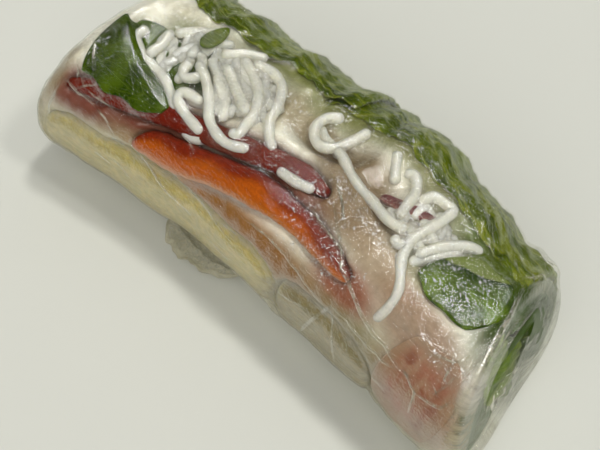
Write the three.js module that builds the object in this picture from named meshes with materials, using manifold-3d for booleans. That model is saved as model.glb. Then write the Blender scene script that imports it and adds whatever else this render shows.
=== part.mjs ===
// A rice paper roll lying on its long side. Its far end is folded shut, and the paper at its near
// end is tucked in round an open pocket. Millimetres, +X towards the near end, +Z up.
//
// Every piece is placed on the roll by three numbers: how far along it lies, in millimetres, how
// far round it lies, in degrees (0 front, 90 top, 180 back, 270 underneath), and how deep it lies
// under the outside of the paper, in millimetres.

import * as THREE from "three";
import { mergeVertices } from "three/addons/utils/BufferGeometryUtils.js";
import Module from "manifold-3d";

const wasm = await Module();
wasm.setup();

// ---------------------------------------------------------------- driving dimensions

const FAR_END = -58;
const NEAR_END = 56.5;
const HALF_WIDTH = 22.9;
const FAR_FLARE = 1.1;
const NEAR_TAPER = 3.2;
const HEIGHT_TO_WIDTH = 0.83;
const SECTION_POWER = 2.25;
const SINK = 1.2; // the soft roll settles this far into a flat underside
const SIDE_BOW = 2.2;
const SIDE_BOW_MIDDLE = 6;
const SIDE_BOW_RATE = 0.0016;

const FAR_CAP = 11;
const FAR_CAP_POWER = 2.6;
const FAR_POLE_HEIGHT = 15;
const FAR_LEAN_UP = 7;
const FAR_LEAN_BACK = 3;
const FAR_FOLDS = 5;
const FAR_FOLD_DEPTH = 0.7;

const NEAR_SLANT = 4; // the front of the near end reaches further than its back
const NEAR_TOP_PULL = 3;
const MIDDLE_HEIGHT = 17.5;
const NEAR_EDGE = 3;
const FOOT_FLARE = 2.2; // the back foot of the near end sags outwards
const FOOT_FLARE_AROUND = 212;

const MOUTH_HALF_LENGTH = 9.3;
const MOUTH_HALF_HEIGHT = 4.2;
const MOUTH_SIDE = -1.1;
const MOUTH_HEIGHT = 21.5;
const MOUTH_TILT = 33;
const MOUTH_RECESS = 1.2;
const PLEATS = 9;
const PLEAT_DEPTH = 0.7;

const PAPER = 0.6;
const GAP = 0.35;
const LEAF = 0.7;
const NOODLE = 0.95; // radius
const NOODLE_DEPTH = PAPER + GAP + NOODLE;
const CORE_DEPTH = 2.4;
const UNDER_NOODLES = NOODLE_DEPTH + NOODLE + GAP;

// ---------------------------------------------------------------- the outside of the roll

const { clamp, smoothstep, degToRad } = THREE.MathUtils;
const ease = (share) => smoothstep(share, 0, 1);
const mix = (from, to, share) => from + (to - from) * share;

function halfWidth(along) {
  return HALF_WIDTH + FAR_FLARE * ease((-22 - along) / 28) - NEAR_TAPER * ease((along - 22) / 36);
}

function middleSide(along) {
  return SIDE_BOW - SIDE_BOW_RATE * (along - SIDE_BOW_MIDDLE) ** 2;
}

function nearEnd(around) {
  const angle = degToRad(around);
  return NEAR_END + NEAR_SLANT * Math.cos(angle) - NEAR_TOP_PULL * Math.max(Math.sin(angle), 0);
}

// How far along the end wall lies at a place across and up.
function endWall(side, height) {
  const high = Math.max((height - MIDDLE_HEIGHT) / MIDDLE_HEIGHT, 0);
  return NEAR_END - (NEAR_SLANT * side) / HALF_WIDTH - NEAR_TOP_PULL * high;
}

function footFlare(along, around) {
  const turned = Math.max(Math.cos(degToRad(around - FOOT_FLARE_AROUND)), 0);
  return FOOT_FLARE * ease((along - 44) / 12) * turned ** 8;
}

// The far end leans: its top and its back lie further in than its foot.
function leanFarEnd(point) {
  const share = ease((-30 - point.x) / 26);
  const up = point.z / 38;
  const back = (point.y + 22) / 44;
  point.x += share * (FAR_LEAN_UP * up + FAR_LEAN_BACK * back);
  return point;
}

function onRoll(along, around, depth = 0) {
  const angle = degToRad(around);
  const span = halfWidth(clamp(along, FAR_END + 3, NEAR_END));
  const wide = span - depth;
  const high = HEIGHT_TO_WIDTH * span - depth;
  const fromFar = clamp((along - FAR_END - depth) / FAR_CAP, 0, 1);
  const farShare = (1 - (1 - fromFar) ** FAR_CAP_POWER) ** (1 / FAR_CAP_POWER);
  const pastEdge = clamp((along - nearEnd(around) + depth + NEAR_EDGE) / NEAR_EDGE, 0, 1);
  const nearShare = 1 - (NEAR_EDGE * (1 - Math.sqrt(1 - pastEdge ** 2))) / wide;
  const side = Math.abs(Math.cos(angle)) / wide;
  const lift = Math.abs(Math.sin(angle)) / high;
  const reach = (side ** SECTION_POWER + lift ** SECTION_POWER) ** (-1 / SECTION_POWER);
  const radius = (reach + footFlare(along, around)) * farShare * nearShare;
  const middle = mix(FAR_POLE_HEIGHT, HEIGHT_TO_WIDTH * span - SINK, farShare);
  return leanFarEnd(
    new THREE.Vector3(
      along,
      middleSide(along) - radius * Math.cos(angle),
      Math.max(middle + radius * Math.sin(angle), depth),
    ),
  );
}

// ---------------------------------------------------------------- ways of making a solid

// A closed solid from points and triangles, turned so that its faces point out.
function solidFrom(positions, faces) {
  const geometry = new THREE.BufferGeometry();
  geometry.setAttribute("position", new THREE.Float32BufferAttribute(positions, 3));
  geometry.setIndex(faces);
  const merged = mergeVertices(geometry, 1e-4);
  const vertProperties = merged.attributes.position.array;
  const triVerts = new Uint32Array(merged.index.array);
  const solid = new wasm.Manifold(new wasm.Mesh({ numProp: 3, vertProperties, triVerts }));
  if (solid.volume() > 0) return solid;
  return new wasm.Manifold(
    new wasm.Mesh({ numProp: 3, vertProperties, triVerts: triVerts.toReversed() }),
  );
}

function meshFrom(name, solid, material) {
  const { vertProperties, triVerts } = solid.getMesh();
  const geometry = new THREE.BufferGeometry();
  geometry.setAttribute("position", new THREE.BufferAttribute(vertProperties, 3));
  geometry.setIndex(new THREE.BufferAttribute(triVerts, 1));
  geometry.computeVertexNormals();
  const mesh = new THREE.Mesh(geometry, material);
  mesh.name = name;
  return mesh;
}

// A closed body through rings of points, each end shut by a fan to the middle of its ring.
function loft(rings) {
  const count = rings[0].length;
  const positions = rings.flat().flatMap((point) => point.toArray());
  const faces = [];
  for (let ring = 0; ring + 1 < rings.length; ring++) {
    for (let k = 0; k < count; k++) {
      const here = ring * count + k;
      const beside = ring * count + ((k + 1) % count);
      faces.push(here, beside, here + count, beside, beside + count, here + count);
    }
  }
  for (const [ring, turned] of [[0, true], [rings.length - 1, false]]) {
    const middle = new THREE.Vector3();
    rings[ring].forEach((point) => middle.addScaledVector(point, 1 / count));
    const centre = positions.length / 3;
    positions.push(...middle.toArray());
    for (let k = 0; k < count; k++) {
      const here = ring * count + k;
      const beside = ring * count + ((k + 1) % count);
      faces.push(centre, ...(turned ? [beside, here] : [here, beside]));
    }
  }
  return solidFrom(positions, faces);
}

function ringOf(count, pointAt) {
  return Array.from({ length: count }, (_, k) => pointAt((360 * k) / count));
}

// A round strand of food laid along the roll; route holds [along, around, depth] points.
function strand(route, radius = NOODLE, step = 2.6, sides = 6) {
  const line = new THREE.CatmullRomCurve3(route.map(([x, a, d = NOODLE_DEPTH]) => onRoll(x, a, d)));
  const steps = Math.max(4, Math.round(line.getLength() / step));
  const frames = line.computeFrenetFrames(steps);
  const rings = [];
  for (let i = 0; i <= steps; i++) {
    const middle = line.getPointAt(i / steps);
    const wide = i === 0 || i === steps ? 0.7 * radius : radius;
    rings.push(
      ringOf(sides, (turn) =>
        middle
          .clone()
          .addScaledVector(frames.normals[i], wide * Math.cos(degToRad(turn)))
          .addScaledVector(frames.binormals[i], wide * Math.sin(degToRad(turn))),
      ),
    );
  }
  return loft(rings);
}

// A cut strip with rounded corners that follows the roll. Its route holds [along, around,
// half width] points; top is the depth of its upper face; grow adds clearance all round.
function strip({ route, top, thick, steps = 13, sides = 10 }, grow = 0) {
  const line = new THREE.CatmullRomCurve3(route.map((point) => new THREE.Vector3(...point)));
  const rings = [];
  for (let i = 0; i <= steps; i++) {
    const share = i / steps;
    const { x, y: around, z: half } = line.getPoint(share);
    const blunt = (1 - Math.abs(2 * share - 1) ** 12) ** 0.5 * 0.45 + 0.55;
    const end = i === 0 ? -grow : i === steps ? grow : 0;
    rings.push(
      ringOf(sides, (turn) => {
        const c = Math.cos(degToRad(turn));
        const s = Math.sin(degToRad(turn));
        const corner = (c ** 4 + s ** 4) ** -0.25;
        const across = c * corner * (half * blunt + grow);
        const down = -s * corner * ((thick / 2) * blunt + grow);
        const turned = around - THREE.MathUtils.radToDeg(across / halfWidth(x));
        return onRoll(x + end, turned, top + thick / 2 + down);
      }),
    );
  }
  return loft(rings);
}

// A thin sheet of food, both faces split alike. at turns u and v, each from -1 to 1, and a step
// inwards into a point of the sheet.
function sheet({ at, columns, rows, thick = LEAF }, grow = 0) {
  const positions = [];
  const faces = [];
  const width = columns + 1;
  const layer = width * (rows + 1);
  for (const side of [-1, 1]) {
    for (let j = 0; j <= rows; j++) {
      for (let i = 0; i <= columns; i++) {
        const point = at((2 * i) / columns - 1, (2 * j) / rows - 1, side * (thick / 2 + grow));
        positions.push(...point.toArray());
      }
    }
  }
  for (let j = 0; j < rows; j++) {
    for (let i = 0; i < columns; i++) {
      const top = j * width + i;
      const low = top + layer;
      faces.push(top, top + width + 1, top + 1, top, top + width, top + width + 1);
      faces.push(low, low + 1, low + width + 1, low, low + width + 1, low + width);
    }
  }
  const rim = [];
  for (let i = 0; i < columns; i++) rim.push(i);
  for (let j = 0; j < rows; j++) rim.push(j * width + columns);
  for (let i = columns; i > 0; i--) rim.push(rows * width + i);
  for (let j = rows; j > 0; j--) rim.push(j * width);
  rim.forEach((here, k) => {
    const next = rim[(k + 1) % rim.length];
    faces.push(here, next, next + layer, here, next + layer, here + layer);
  });
  return solidFrom(positions, faces);
}

// A sheet laid in the roll: place turns u and v into [along, around, depth].
function laid(place) {
  return (u, v, inward) => {
    const [along, around, depth] = place(u, v);
    return onRoll(along, around, depth + inward);
  };
}

// u and v of a square turned into a round leaf, so that its grid stays even.
function roundOff(u, v) {
  return [u * Math.sqrt(1 - v ** 2 / 2), v * Math.sqrt(1 - u ** 2 / 2)];
}

// ---------------------------------------------------------------- rice paper

const AROUND = 44;

// Where the paper turns in at the near end: a tilted oval pocket mouth.
function mouthPoint(around, depth) {
  const angle = degToRad(around);
  const tilt = degToRad(MOUTH_TILT);
  const across = -MOUTH_HALF_LENGTH * Math.cos(angle);
  const up = MOUTH_HALF_HEIGHT * Math.sin(angle);
  const side = MOUTH_SIDE + across * Math.cos(tilt) - up * Math.sin(tilt);
  const height = MOUTH_HEIGHT + across * Math.sin(tilt) + up * Math.cos(tilt);
  return new THREE.Vector3(endWall(side, height) - MOUTH_RECESS - 0.5 * depth, side, height);
}

function paperRings(depth, bodyRows, endRows) {
  const rings = [];
  for (const turn of [12, 26, 40, 54, 68, 80]) {
    const along = FAR_END + depth + FAR_CAP * (1 - Math.cos(degToRad(turn)));
    const fold = FAR_FOLD_DEPTH * Math.sin(degToRad(2 * turn));
    rings.push(
      ringOf(AROUND, (around) => {
        const pleat = fold * Math.sin(degToRad(FAR_FOLDS * around + 2 * turn));
        return onRoll(along, around, depth).add(new THREE.Vector3(pleat, 0, 0));
      }),
    );
  }
  const start = FAR_END + depth + FAR_CAP;
  for (let row = 0; row <= bodyRows; row++) {
    rings.push(
      ringOf(AROUND, (around) => {
        const stop = nearEnd(around) - depth - NEAR_EDGE;
        return onRoll(mix(start, stop, row / bodyRows), around, depth);
      }),
    );
  }
  for (const turn of [35, 65, 90]) {
    rings.push(
      ringOf(AROUND, (around) => {
        const stop = nearEnd(around) - depth - NEAR_EDGE * (1 - Math.sin(degToRad(turn)));
        return onRoll(stop, around, depth);
      }),
    );
  }
  for (let row = 1; row < endRows; row++) {
    rings.push(
      ringOf(AROUND, (around) => {
        const share = row / endRows;
        const rim = onRoll(nearEnd(around) - depth, around, depth);
        const pleat = PLEAT_DEPTH * Math.sin(Math.PI * share) * Math.sin(degToRad(PLEATS * around));
        return rim.lerp(mouthPoint(around, depth), share).add(new THREE.Vector3(pleat, 0, 0));
      }),
    );
  }
  return rings;
}

// A loose tongue of paper lies on the table along the front foot of the roll.
const TONGUE = { from: -24, to: 3, root: -9, tip: -20.5, thick: 0.8 };

function paperTongue() {
  const { from, to, root, tip, thick } = TONGUE;
  const steps = 12;
  const rings = [];
  for (let i = 0; i <= steps; i++) {
    const share = i / steps;
    const along = mix(from, to, share);
    const reach = Math.sin(Math.PI * mix(0.06, 0.94, share)) ** 0.6;
    const edge = mix(root - 2, tip + 0.5 * Math.sin(9 * share), reach);
    rings.push([
      new THREE.Vector3(along, root, 0),
      new THREE.Vector3(along, edge, 0),
      new THREE.Vector3(along, edge, thick * 0.6),
      new THREE.Vector3(along, root, thick),
    ]);
  }
  return loft(rings);
}

function ricePaper() {
  const outer = paperRings(0, 18, 4);
  const inner = paperRings(PAPER, 10, 3).reverse();
  const mouth = ringOf(AROUND, (around) => mouthPoint(around, 0));
  const wrap = loft([...outer, mouth, ...inner]);
  return wrap.add(paperTongue());
}

// ---------------------------------------------------------------- vegetables

const PEPPER_FRONT = {
  route: [[-25, 23, 1.2], [-15, 29, 3], [-2, 40, 3.8], [12, 44.5, 2.9], [27, 40, 1.6]],
  top: PAPER + GAP,
  thick: 4,
};

const PEPPER_BACK = {
  route: [[-47, 35, 1.8], [-35, 41, 2.6], [-20, 48, 2.8], [-5, 60, 2.8], [5, 69, 2.8], [13, 70, 2]],
  top: UNDER_NOODLES + GAP,
  thick: 3.4,
};

const CUCUMBER_FAR = {
  route: [[-50, -4, 6.5], [-30, -4, 7.6], [-8, -3, 7.8], [13, -2, 7]],
  top: 1.3,
  thick: 5,
};

const CUCUMBER_NEAR = {
  route: [[15, -2, 6.6], [26, -3, 7.6], [38, -4, 6.8]],
  top: 1.3,
  thick: 5,
};

const CABBAGE_SHRED = {
  route: [[20.5, 88, 1.1], [25, 93, 1.5], [31, 101, 1]],
  top: UNDER_NOODLES,
  thick: 1.4,
  steps: 5,
  sides: 6,
};

// ---------------------------------------------------------------- leaves and the meat slice

const LEAF_DEPTH = PAPER + GAP + LEAF / 2;

// The far herb leaf touches the paper on its far side and dives under the noodles on its near side.
function farHerbDepth(along, around) {
  const past = around - 78 + 1.35 * (along + 41);
  return LEAF_DEPTH + (UNDER_NOODLES - PAPER - GAP) * ease((past + 9) / 6);
}

const HERB_FAR = {
  columns: 8,
  rows: 8,
  at: laid((u, v) => {
    const [a, b] = roundOff(u, v);
    const along = -36 + 13 * a - 3 * b;
    const around = 65 + 26 * b;
    return [along, around, farHerbDepth(along, around)];
  }),
};

const HERB_TIP = {
  columns: 4,
  rows: 4,
  at: laid((u, v) => {
    const [a, b] = roundOff(u, v);
    return [-27.5 + 1.6 * a * (1 - 0.3 * b), 104 + 11 * b, LEAF_DEPTH + 0.1 * a];
  }),
};

const HERB_NEAR = {
  columns: 8,
  rows: 8,
  at: laid((u, v) => {
    const [a, b] = roundOff(u, v);
    const along = 44.2 + 7 * a * (1 - 0.12 * b) + 2.4 * b;
    return [along, 88 + 23 * b, LEAF_DEPTH + 0.2 * (1 + Math.sin(4 * a + b))];
  }),
};

const LETTUCE_FAR = {
  columns: 14,
  rows: 7,
  at: laid((u, v) => {
    const along = -23.5 + 27 * u;
    const ruffle = Math.sin(0.42 * along) + 0.6 * Math.sin(0.95 * along + 2);
    const around = 164 + 40 * v + 2.2 * ruffle * (v < 0 ? -v : v);
    return [along, around, LEAF_DEPTH + 0.45 + 0.3 * Math.sin(0.7 * along + 5 * v)];
  }),
};

const LETTUCE_NEAR = {
  columns: 14,
  rows: 7,
  at: laid((u, v) => {
    const along = 23 + 25 * u;
    const ruffle = Math.sin(0.5 * along) + 0.6 * Math.sin(1.1 * along + 1);
    const around = 163 + 40 * v + 2.2 * ruffle * (v < 0 ? -v : v);
    const tucked = 1.3 * ease((9 - along) / 5);
    return [along, around, LEAF_DEPTH + 0.45 + tucked + 0.3 * Math.sin(0.6 * along + 5 * v)];
  }),
};

const MEAT_SLICE = {
  columns: 8,
  rows: 8,
  at: laid((u, v) => {
    const [a, b] = roundOff(u, v);
    const around = 22 + 30 * b;
    return [48 + 7.6 * a + 1.6 * b, around, LEAF_DEPTH + 0.2 * (1 + Math.sin(3 * a - 2 * b))];
  }),
};

// A leaf that stands behind the end wall. Its top edge fills the pocket mouth, and it narrows
// down to the foot of the wall, with one fold across it.
const POCKET_LEAF = {
  columns: 9,
  rows: 12,
  at: (u, v, inward) => {
    const [a, b] = roundOff(u, v);
    const tilt = degToRad(MOUTH_TILT);
    const down = 12 - 12 * b;
    const out = 9.6 * a * (1 - down / 28) ** 0.8 - 0.27 * down;
    const side = MOUTH_SIDE - 2.7 + out * Math.cos(tilt) + down * Math.sin(tilt);
    const height = MOUTH_HEIGHT + 4.2 + out * Math.sin(tilt) - down * Math.cos(tilt);
    const fold = 0.7 * Math.exp(-(((down - 8) / 1.6) ** 2));
    const along = endWall(side, height) - 2.9 - fold;
    return new THREE.Vector3(along - inward, side, height);
  },
};

// ---------------------------------------------------------------- noodles

// How deep the packed noodles lie: they make room for what lies between them and the paper.
function coreDepth(along, around) {
  let depth = CORE_DEPTH;
  const makeRoom = (bottom, inside) => {
    depth = Math.max(depth, mix(CORE_DEPTH, bottom + GAP + 0.25, ease(inside)));
  };
  const roomFor = ({ route, top, thick }) => {
    const [first, last] = [route[0][0], route.at(-1)[0]];
    const next = Math.max(1, route.findIndex(([x]) => x > along));
    const [before, after] = along > last ? [route.at(-1), route.at(-1)] : [route[next - 1], route[next]];
    const share = clamp((along - before[0]) / (after[0] - before[0] || 1), 0, 1);
    const across = degToRad(Math.abs(around - mix(before[1], after[1], share))) * HALF_WIDTH;
    const beyond = Math.max(first - along, along - last, 0);
    const out = Math.hypot(Math.max(across - mix(before[2], after[2], share), 0), beyond);
    makeRoom(top + thick, 1.6 - out / 2.2);
  };
  [PEPPER_FRONT, PEPPER_BACK, CUCUMBER_FAR, CUCUMBER_NEAR, CABBAGE_SHRED].forEach(roomFor);
  const oval = (x, a, halfLong, halfRound) =>
    1 - 3 * (Math.hypot((along - x) / halfLong, (around - a) / halfRound) - 1.12);
  makeRoom(farHerbDepth(along, around) + LEAF / 2, oval(-36, 65, 13.5, 26));
  makeRoom(LEAF_DEPTH + LEAF, oval(44.2, 88, 9.6, 24));
  makeRoom(LEAF_DEPTH + LEAF, oval(48, 22, 9, 31));
  makeRoom(LEAF_DEPTH + 1.2, (45 - Math.abs(around - 164)) / 4);
  makeRoom(LEAF_DEPTH + 2.3, Math.min((45 - Math.abs(around - 164)) / 4, 2 - Math.abs(along - 1) / 4));
  return depth;
}

const CORE_FAR_INSET = 3.4;
const CORE_NEAR_INSET = 4.4;

function corePoint(along, around) {
  return onRoll(along, around, coreDepth(along, around > 270 ? around - 360 : around));
}

// A ring of the packed noodles behind the end wall: share runs from the rim to the pocket mouth.
function coreEndRing(count, share) {
  return ringOf(count, (around) => {
    const rim = corePoint(nearEnd(around) - CORE_NEAR_INSET, around);
    const mouth = mouthPoint(around, 0);
    mouth.x -= CORE_NEAR_INSET - MOUTH_RECESS;
    return rim.lerp(mouth, share);
  });
}

function noodleCore() {
  const count = 40;
  const rings = [];
  const shares = [0.02, 0.05, 0.1, 0.16, 0.24];
  for (let row = 0; row <= 20; row++) shares.push(mix(0.28, 1, row / 20));
  for (const share of shares) {
    rings.push(
      ringOf(count, (around) => {
        const stop = nearEnd(around) - CORE_NEAR_INSET;
        return corePoint(mix(FAR_END + CORE_FAR_INSET, stop, share ** 1.25), around);
      }),
    );
  }
  for (const share of [0.5, 1]) rings.push(coreEndRing(count, share));
  return loft(rings);
}

// The strands that show through the paper, from the far end to the near end.
const STRANDS = [
  [[-40, 82], [-40, 75], [-37.5, 70], [-34, 66], [-29, 63], [-24, 55], [-20, 48]],
  [[-34, 90], [-33.5, 79], [-33.6, 71]],
  [[-18.3, 64], [-21.5, 63], [-22.8, 58], [-19.5, 52], [-14, 49.5]],
  [[-18.9, 51], [-17.6, 45], [-14, 45], [-10.6, 52]],
  [[-25.4, 82], [-21.3, 76], [-18.1, 68], [-14.7, 58], [-9.8, 53], [-4, 58]],
  [[-22.4, 76], [-24.2, 69.5], [-26.3, 74], [-25.5, 80]],
  [[-21.1, 84], [-17.3, 76], [-14.3, 68], [-12.7, 62]],
  [[-20.7, 92], [-15.8, 83], [-11.4, 76], [-9.3, 73]],
  [[-19.9, 102], [-15.5, 97], [-11.8, 89], [-8.6, 76], [-7.7, 66], [-9.4, 60]],
  [[-17.7, 106], [-13, 107.5], [-9, 101], [-6.6, 90], [-5.2, 78], [-1, 66]],
  [[-24, 97], [-21.4, 103], [-18, 112]],
  [[-35, 93], [-33.4, 101], [-31.8, 109]],
  [[9.2, 111], [8.3, 102], [6.9, 92], [4, 87], [1.5, 94], [1.3, 103], [3.8, 110]],
  [[9.8, 90], [13.4, 85], [20.2, 81], [26.6, 79], [30, 83]],
  [[16.3, 112], [18.5, 106], [20.6, 99]],
  [[20.3, 107], [23.4, 109], [25.2, 100], [25.9, 90], [26.3, 84]],
  [[26.6, 101], [28.6, 110], [31.6, 112], [31.6, 97], [31.2, 79], [34, 61], [36.2, 46], [35, 36]],
  [[27.5, 56], [29.8, 62], [31.8, 69]],
  [[33.4, 76], [34.4, 85], [35.6, 95], [38, 108]],
  [[28.1, 74], [29.6, 72.5], [31, 78]],
  [[3.1, 60], [7.3, 61], [11.1, 63.5]],
];

function largestBody(solid) {
  return solid.decompose().reduce((best, body) => (body.volume() > best.volume() ? body : best));
}

function noodles(neighbours) {
  let heap = noodleCore();
  for (const route of STRANDS) heap = heap.add(strand(route));
  for (const room of neighbours) heap = heap.subtract(room);
  return largestBody(heap);
}

// ---------------------------------------------------------------- materials

function food(colour, roughness, opacity = 1) {
  return new THREE.MeshStandardMaterial({
    color: colour,
    roughness,
    metalness: 0,
    opacity,
    transparent: opacity < 1,
  });
}

const PAPER_FINISH = food(0xd2d1c0, 0.25, 0.4);
const NOODLE_FINISH = food(0xcfc8b4, 0.4);
const HERB_FINISH = food(0x35450f, 0.45);
const LETTUCE_FINISH = food(0x6f7a34, 0.45);
const RED_PEPPER_FINISH = food(0x8c3a1c, 0.35);
const ORANGE_PEPPER_FINISH = food(0x9b561d, 0.35);
const CUCUMBER_FINISH = food(0xa59a6c, 0.4);
const CUCUMBER_PALE_FINISH = food(0x8b8668, 0.4);
const MEAT_FINISH = food(0xa07a68, 0.5);
const CABBAGE_FINISH = food(0x613f38, 0.5);

// ---------------------------------------------------------------- the whole roll

const STRIPS = [
  ["pepper_front", PEPPER_FRONT, ORANGE_PEPPER_FINISH],
  ["pepper_back", PEPPER_BACK, RED_PEPPER_FINISH],
  ["cucumber_far", CUCUMBER_FAR, CUCUMBER_FINISH],
  ["cucumber_near", CUCUMBER_NEAR, CUCUMBER_PALE_FINISH],
  ["cabbage_shred", CABBAGE_SHRED, CABBAGE_FINISH],
];

const SHEETS = [
  ["herb_far", HERB_FAR, HERB_FINISH],
  ["herb_tip", HERB_TIP, LETTUCE_FINISH],
  ["herb_near", HERB_NEAR, HERB_FINISH],
  ["lettuce_far", LETTUCE_FAR, LETTUCE_FINISH],
  ["lettuce_near", LETTUCE_NEAR, LETTUCE_FINISH],
  ["pocket_leaf", POCKET_LEAF, LETTUCE_FINISH],
  ["meat_slice", MEAT_SLICE, MEAT_FINISH],
];

const roll = new THREE.Group();
const rooms = [];
roll.add(meshFrom("rice_paper", ricePaper(), PAPER_FINISH));
for (const [name, shape, finish] of STRIPS) {
  roll.add(meshFrom(name, strip(shape), finish));
  rooms.push(strip(shape, GAP));
}
for (const [name, shape, finish] of SHEETS) {
  roll.add(meshFrom(name, sheet(shape), finish));
  rooms.push(sheet(shape, GAP));
}
roll.add(meshFrom("noodles", noodles(rooms), NOODLE_FINISH));

// The origin lies on the table under the middle of the roll's box.
const middle = new THREE.Box3().setFromObject(roll).getCenter(new THREE.Vector3());
roll.position.set(-middle.x, -middle.y, 0);

export default roll;
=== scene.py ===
import math

import bpy
import numpy as np
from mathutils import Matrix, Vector
from mathutils.bvhtree import BVHTree


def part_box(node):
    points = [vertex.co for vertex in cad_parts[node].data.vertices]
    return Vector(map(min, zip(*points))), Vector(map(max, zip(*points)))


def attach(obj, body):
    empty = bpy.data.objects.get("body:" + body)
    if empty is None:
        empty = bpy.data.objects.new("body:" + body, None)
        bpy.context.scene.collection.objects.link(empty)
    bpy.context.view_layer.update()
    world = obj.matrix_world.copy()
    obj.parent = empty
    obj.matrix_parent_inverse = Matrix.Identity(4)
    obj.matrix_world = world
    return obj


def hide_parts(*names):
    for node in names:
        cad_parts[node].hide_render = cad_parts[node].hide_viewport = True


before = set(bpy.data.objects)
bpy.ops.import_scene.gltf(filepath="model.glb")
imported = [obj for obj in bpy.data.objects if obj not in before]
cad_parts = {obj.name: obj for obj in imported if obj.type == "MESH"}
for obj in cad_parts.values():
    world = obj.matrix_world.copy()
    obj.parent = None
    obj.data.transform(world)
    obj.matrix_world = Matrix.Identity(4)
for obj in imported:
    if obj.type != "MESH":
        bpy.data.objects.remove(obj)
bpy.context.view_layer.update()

# ---------------------------------------------------------------- camera
# The eye looks down on the front of the roll and a little on its open near end, from about a
# forearm away, through a lens a little longer than normal.

LOOK_AT = Vector((0.00387, -0.00471, 0.018))
AZIMUTH = math.radians(46)
ELEVATION = math.radians(55)
DISTANCE = 0.285
FOCAL_LENGTH = 90
FILM_WIDTH = 36

lens = bpy.data.cameras.new("camera")
lens.lens = FOCAL_LENGTH
lens.sensor_width = FILM_WIDTH
lens.clip_start = 0.01
camera = bpy.data.objects.new("camera", lens)
towards_eye = Vector((
    math.sin(AZIMUTH) * math.cos(ELEVATION),
    -math.cos(AZIMUTH) * math.cos(ELEVATION),
    math.sin(ELEVATION),
))
camera.location = LOOK_AT + DISTANCE * towards_eye
camera.rotation_euler = (math.pi / 2 - ELEVATION, 0, AZIMUTH)
bpy.context.scene.collection.objects.link(camera)
bpy.context.scene.camera = camera

# ---------------------------------------------------------------- lettuce leaves
# Two ruffled lettuce leaves line the back of the roll, pressed against the paper. A leaf is a
# limp blade under a millimetre thick, pale at its ribs, with a net of veins that pulls it into
# puckers. It is laid on the paper first and is held by the wrap alone.

# The outside of the roll, in millimetres: every filling is placed by how far along the roll it
# lies, how far round (degrees: 0 front, 90 top, 180 back, 270 underneath) and how deep.
FAR_END = -58.0
NEAR_END = 56.5
HALF_WIDTH = 22.9
FAR_FLARE = 1.1
NEAR_TAPER = 3.2
HEIGHT_TO_WIDTH = 0.83
SECTION_POWER = 2.25
SINK = 1.2
SIDE_BOW = 2.2
SIDE_BOW_MIDDLE = 6
SIDE_BOW_RATE = 0.0016
FAR_CAP = 11
FAR_CAP_POWER = 2.6
FAR_POLE_HEIGHT = 15
FAR_LEAN_UP = 7
FAR_LEAN_BACK = 3
NEAR_SLANT = 4
NEAR_TOP_PULL = 3
NEAR_EDGE = 3
MIDDLE_HEIGHT = 17.5
FOOT_FLARE = 3.4  # how far the back foot of the near end sags outwards
FOOT_FLARE_AROUND = 212
MM_PER_DEGREE = 0.4


def ease(share):
    share = np.clip(share, 0, 1)
    return share * share * (3 - 2 * share)


def mix(first, second, share):
    """The first where share is 0 and the second where it is 1."""
    return first * (1 - share) + second * share


def half_width(along):
    return HALF_WIDTH + FAR_FLARE * ease((-22 - along) / 28) - NEAR_TAPER * ease((along - 22) / 36)


def near_end(around):
    turn = np.radians(around)
    return NEAR_END + NEAR_SLANT * np.cos(turn) - NEAR_TOP_PULL * np.maximum(np.sin(turn), 0)


def end_wall(side, height):
    """How far along the near end's wall lies at a place across and up."""
    high = np.maximum((height - MIDDLE_HEIGHT) / MIDDLE_HEIGHT, 0)
    return NEAR_END - NEAR_SLANT * side / HALF_WIDTH - NEAR_TOP_PULL * high


def foot_flare(along, around):
    turned = np.maximum(np.cos(np.radians(around - FOOT_FLARE_AROUND)), 0)
    return FOOT_FLARE * ease((along - 44) / 12) * turned**8


def uneven(along, around):
    """How far the soft roll bulges out of its plain form, more over the ruffled lettuce."""
    turn = np.radians(around)
    swell = 0.3 * np.sin(0.17 * along + 2 * turn) + 0.2 * np.sin(0.37 * along - 3 * turn + 2)
    round_half = np.mod(around, 360)
    over_lettuce = ease((round_half - 98) / 24) * ease((200 - round_half) / 30)
    waves = 0.4 * np.sin(0.41 * along) + 0.18 * np.sin(0.87 * along + 1)
    fuller = 1.6 * np.exp(-(((along - 12) / 15) ** 2)) - 0.5 * np.exp(-(((along + 20) / 13) ** 2))
    return swell + over_lettuce * (waves + fuller)


def on_roll(along, around, depth):
    """Points in millimetres, from arrays of how far along, how far round and how deep."""
    turn = np.radians(around)
    span = half_width(np.clip(along, FAR_END + 3, NEAR_END))
    wide = span - depth
    high = HEIGHT_TO_WIDTH * span - depth
    from_far = np.clip((along - FAR_END - depth) / FAR_CAP, 0, 1)
    far_share = (1 - (1 - from_far) ** FAR_CAP_POWER) ** (1 / FAR_CAP_POWER)
    past_edge = np.clip((along - near_end(around) + depth + NEAR_EDGE) / NEAR_EDGE, 0, 1)
    near_share = 1 - NEAR_EDGE * (1 - np.sqrt(1 - past_edge**2)) / wide
    side = np.abs(np.cos(turn)) / wide
    lift = np.abs(np.sin(turn)) / high
    reach = (side**SECTION_POWER + lift**SECTION_POWER) ** (-1 / SECTION_POWER)
    radius = (reach + foot_flare(along, around) + uneven(along, around)) * far_share * near_share
    middle = FAR_POLE_HEIGHT + (HEIGHT_TO_WIDTH * span - SINK - FAR_POLE_HEIGHT) * far_share
    y = SIDE_BOW - SIDE_BOW_RATE * (along - SIDE_BOW_MIDDLE) ** 2 - radius * np.cos(turn)
    z = np.maximum(middle + radius * np.sin(turn), depth)
    leaning = ease((-30 - along) / 26)
    x = along + leaning * (FAR_LEAN_UP * z / 38 + FAR_LEAN_BACK * (y + 22) / 44)
    return np.stack(np.broadcast_arrays(x, y, z), -1)


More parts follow.
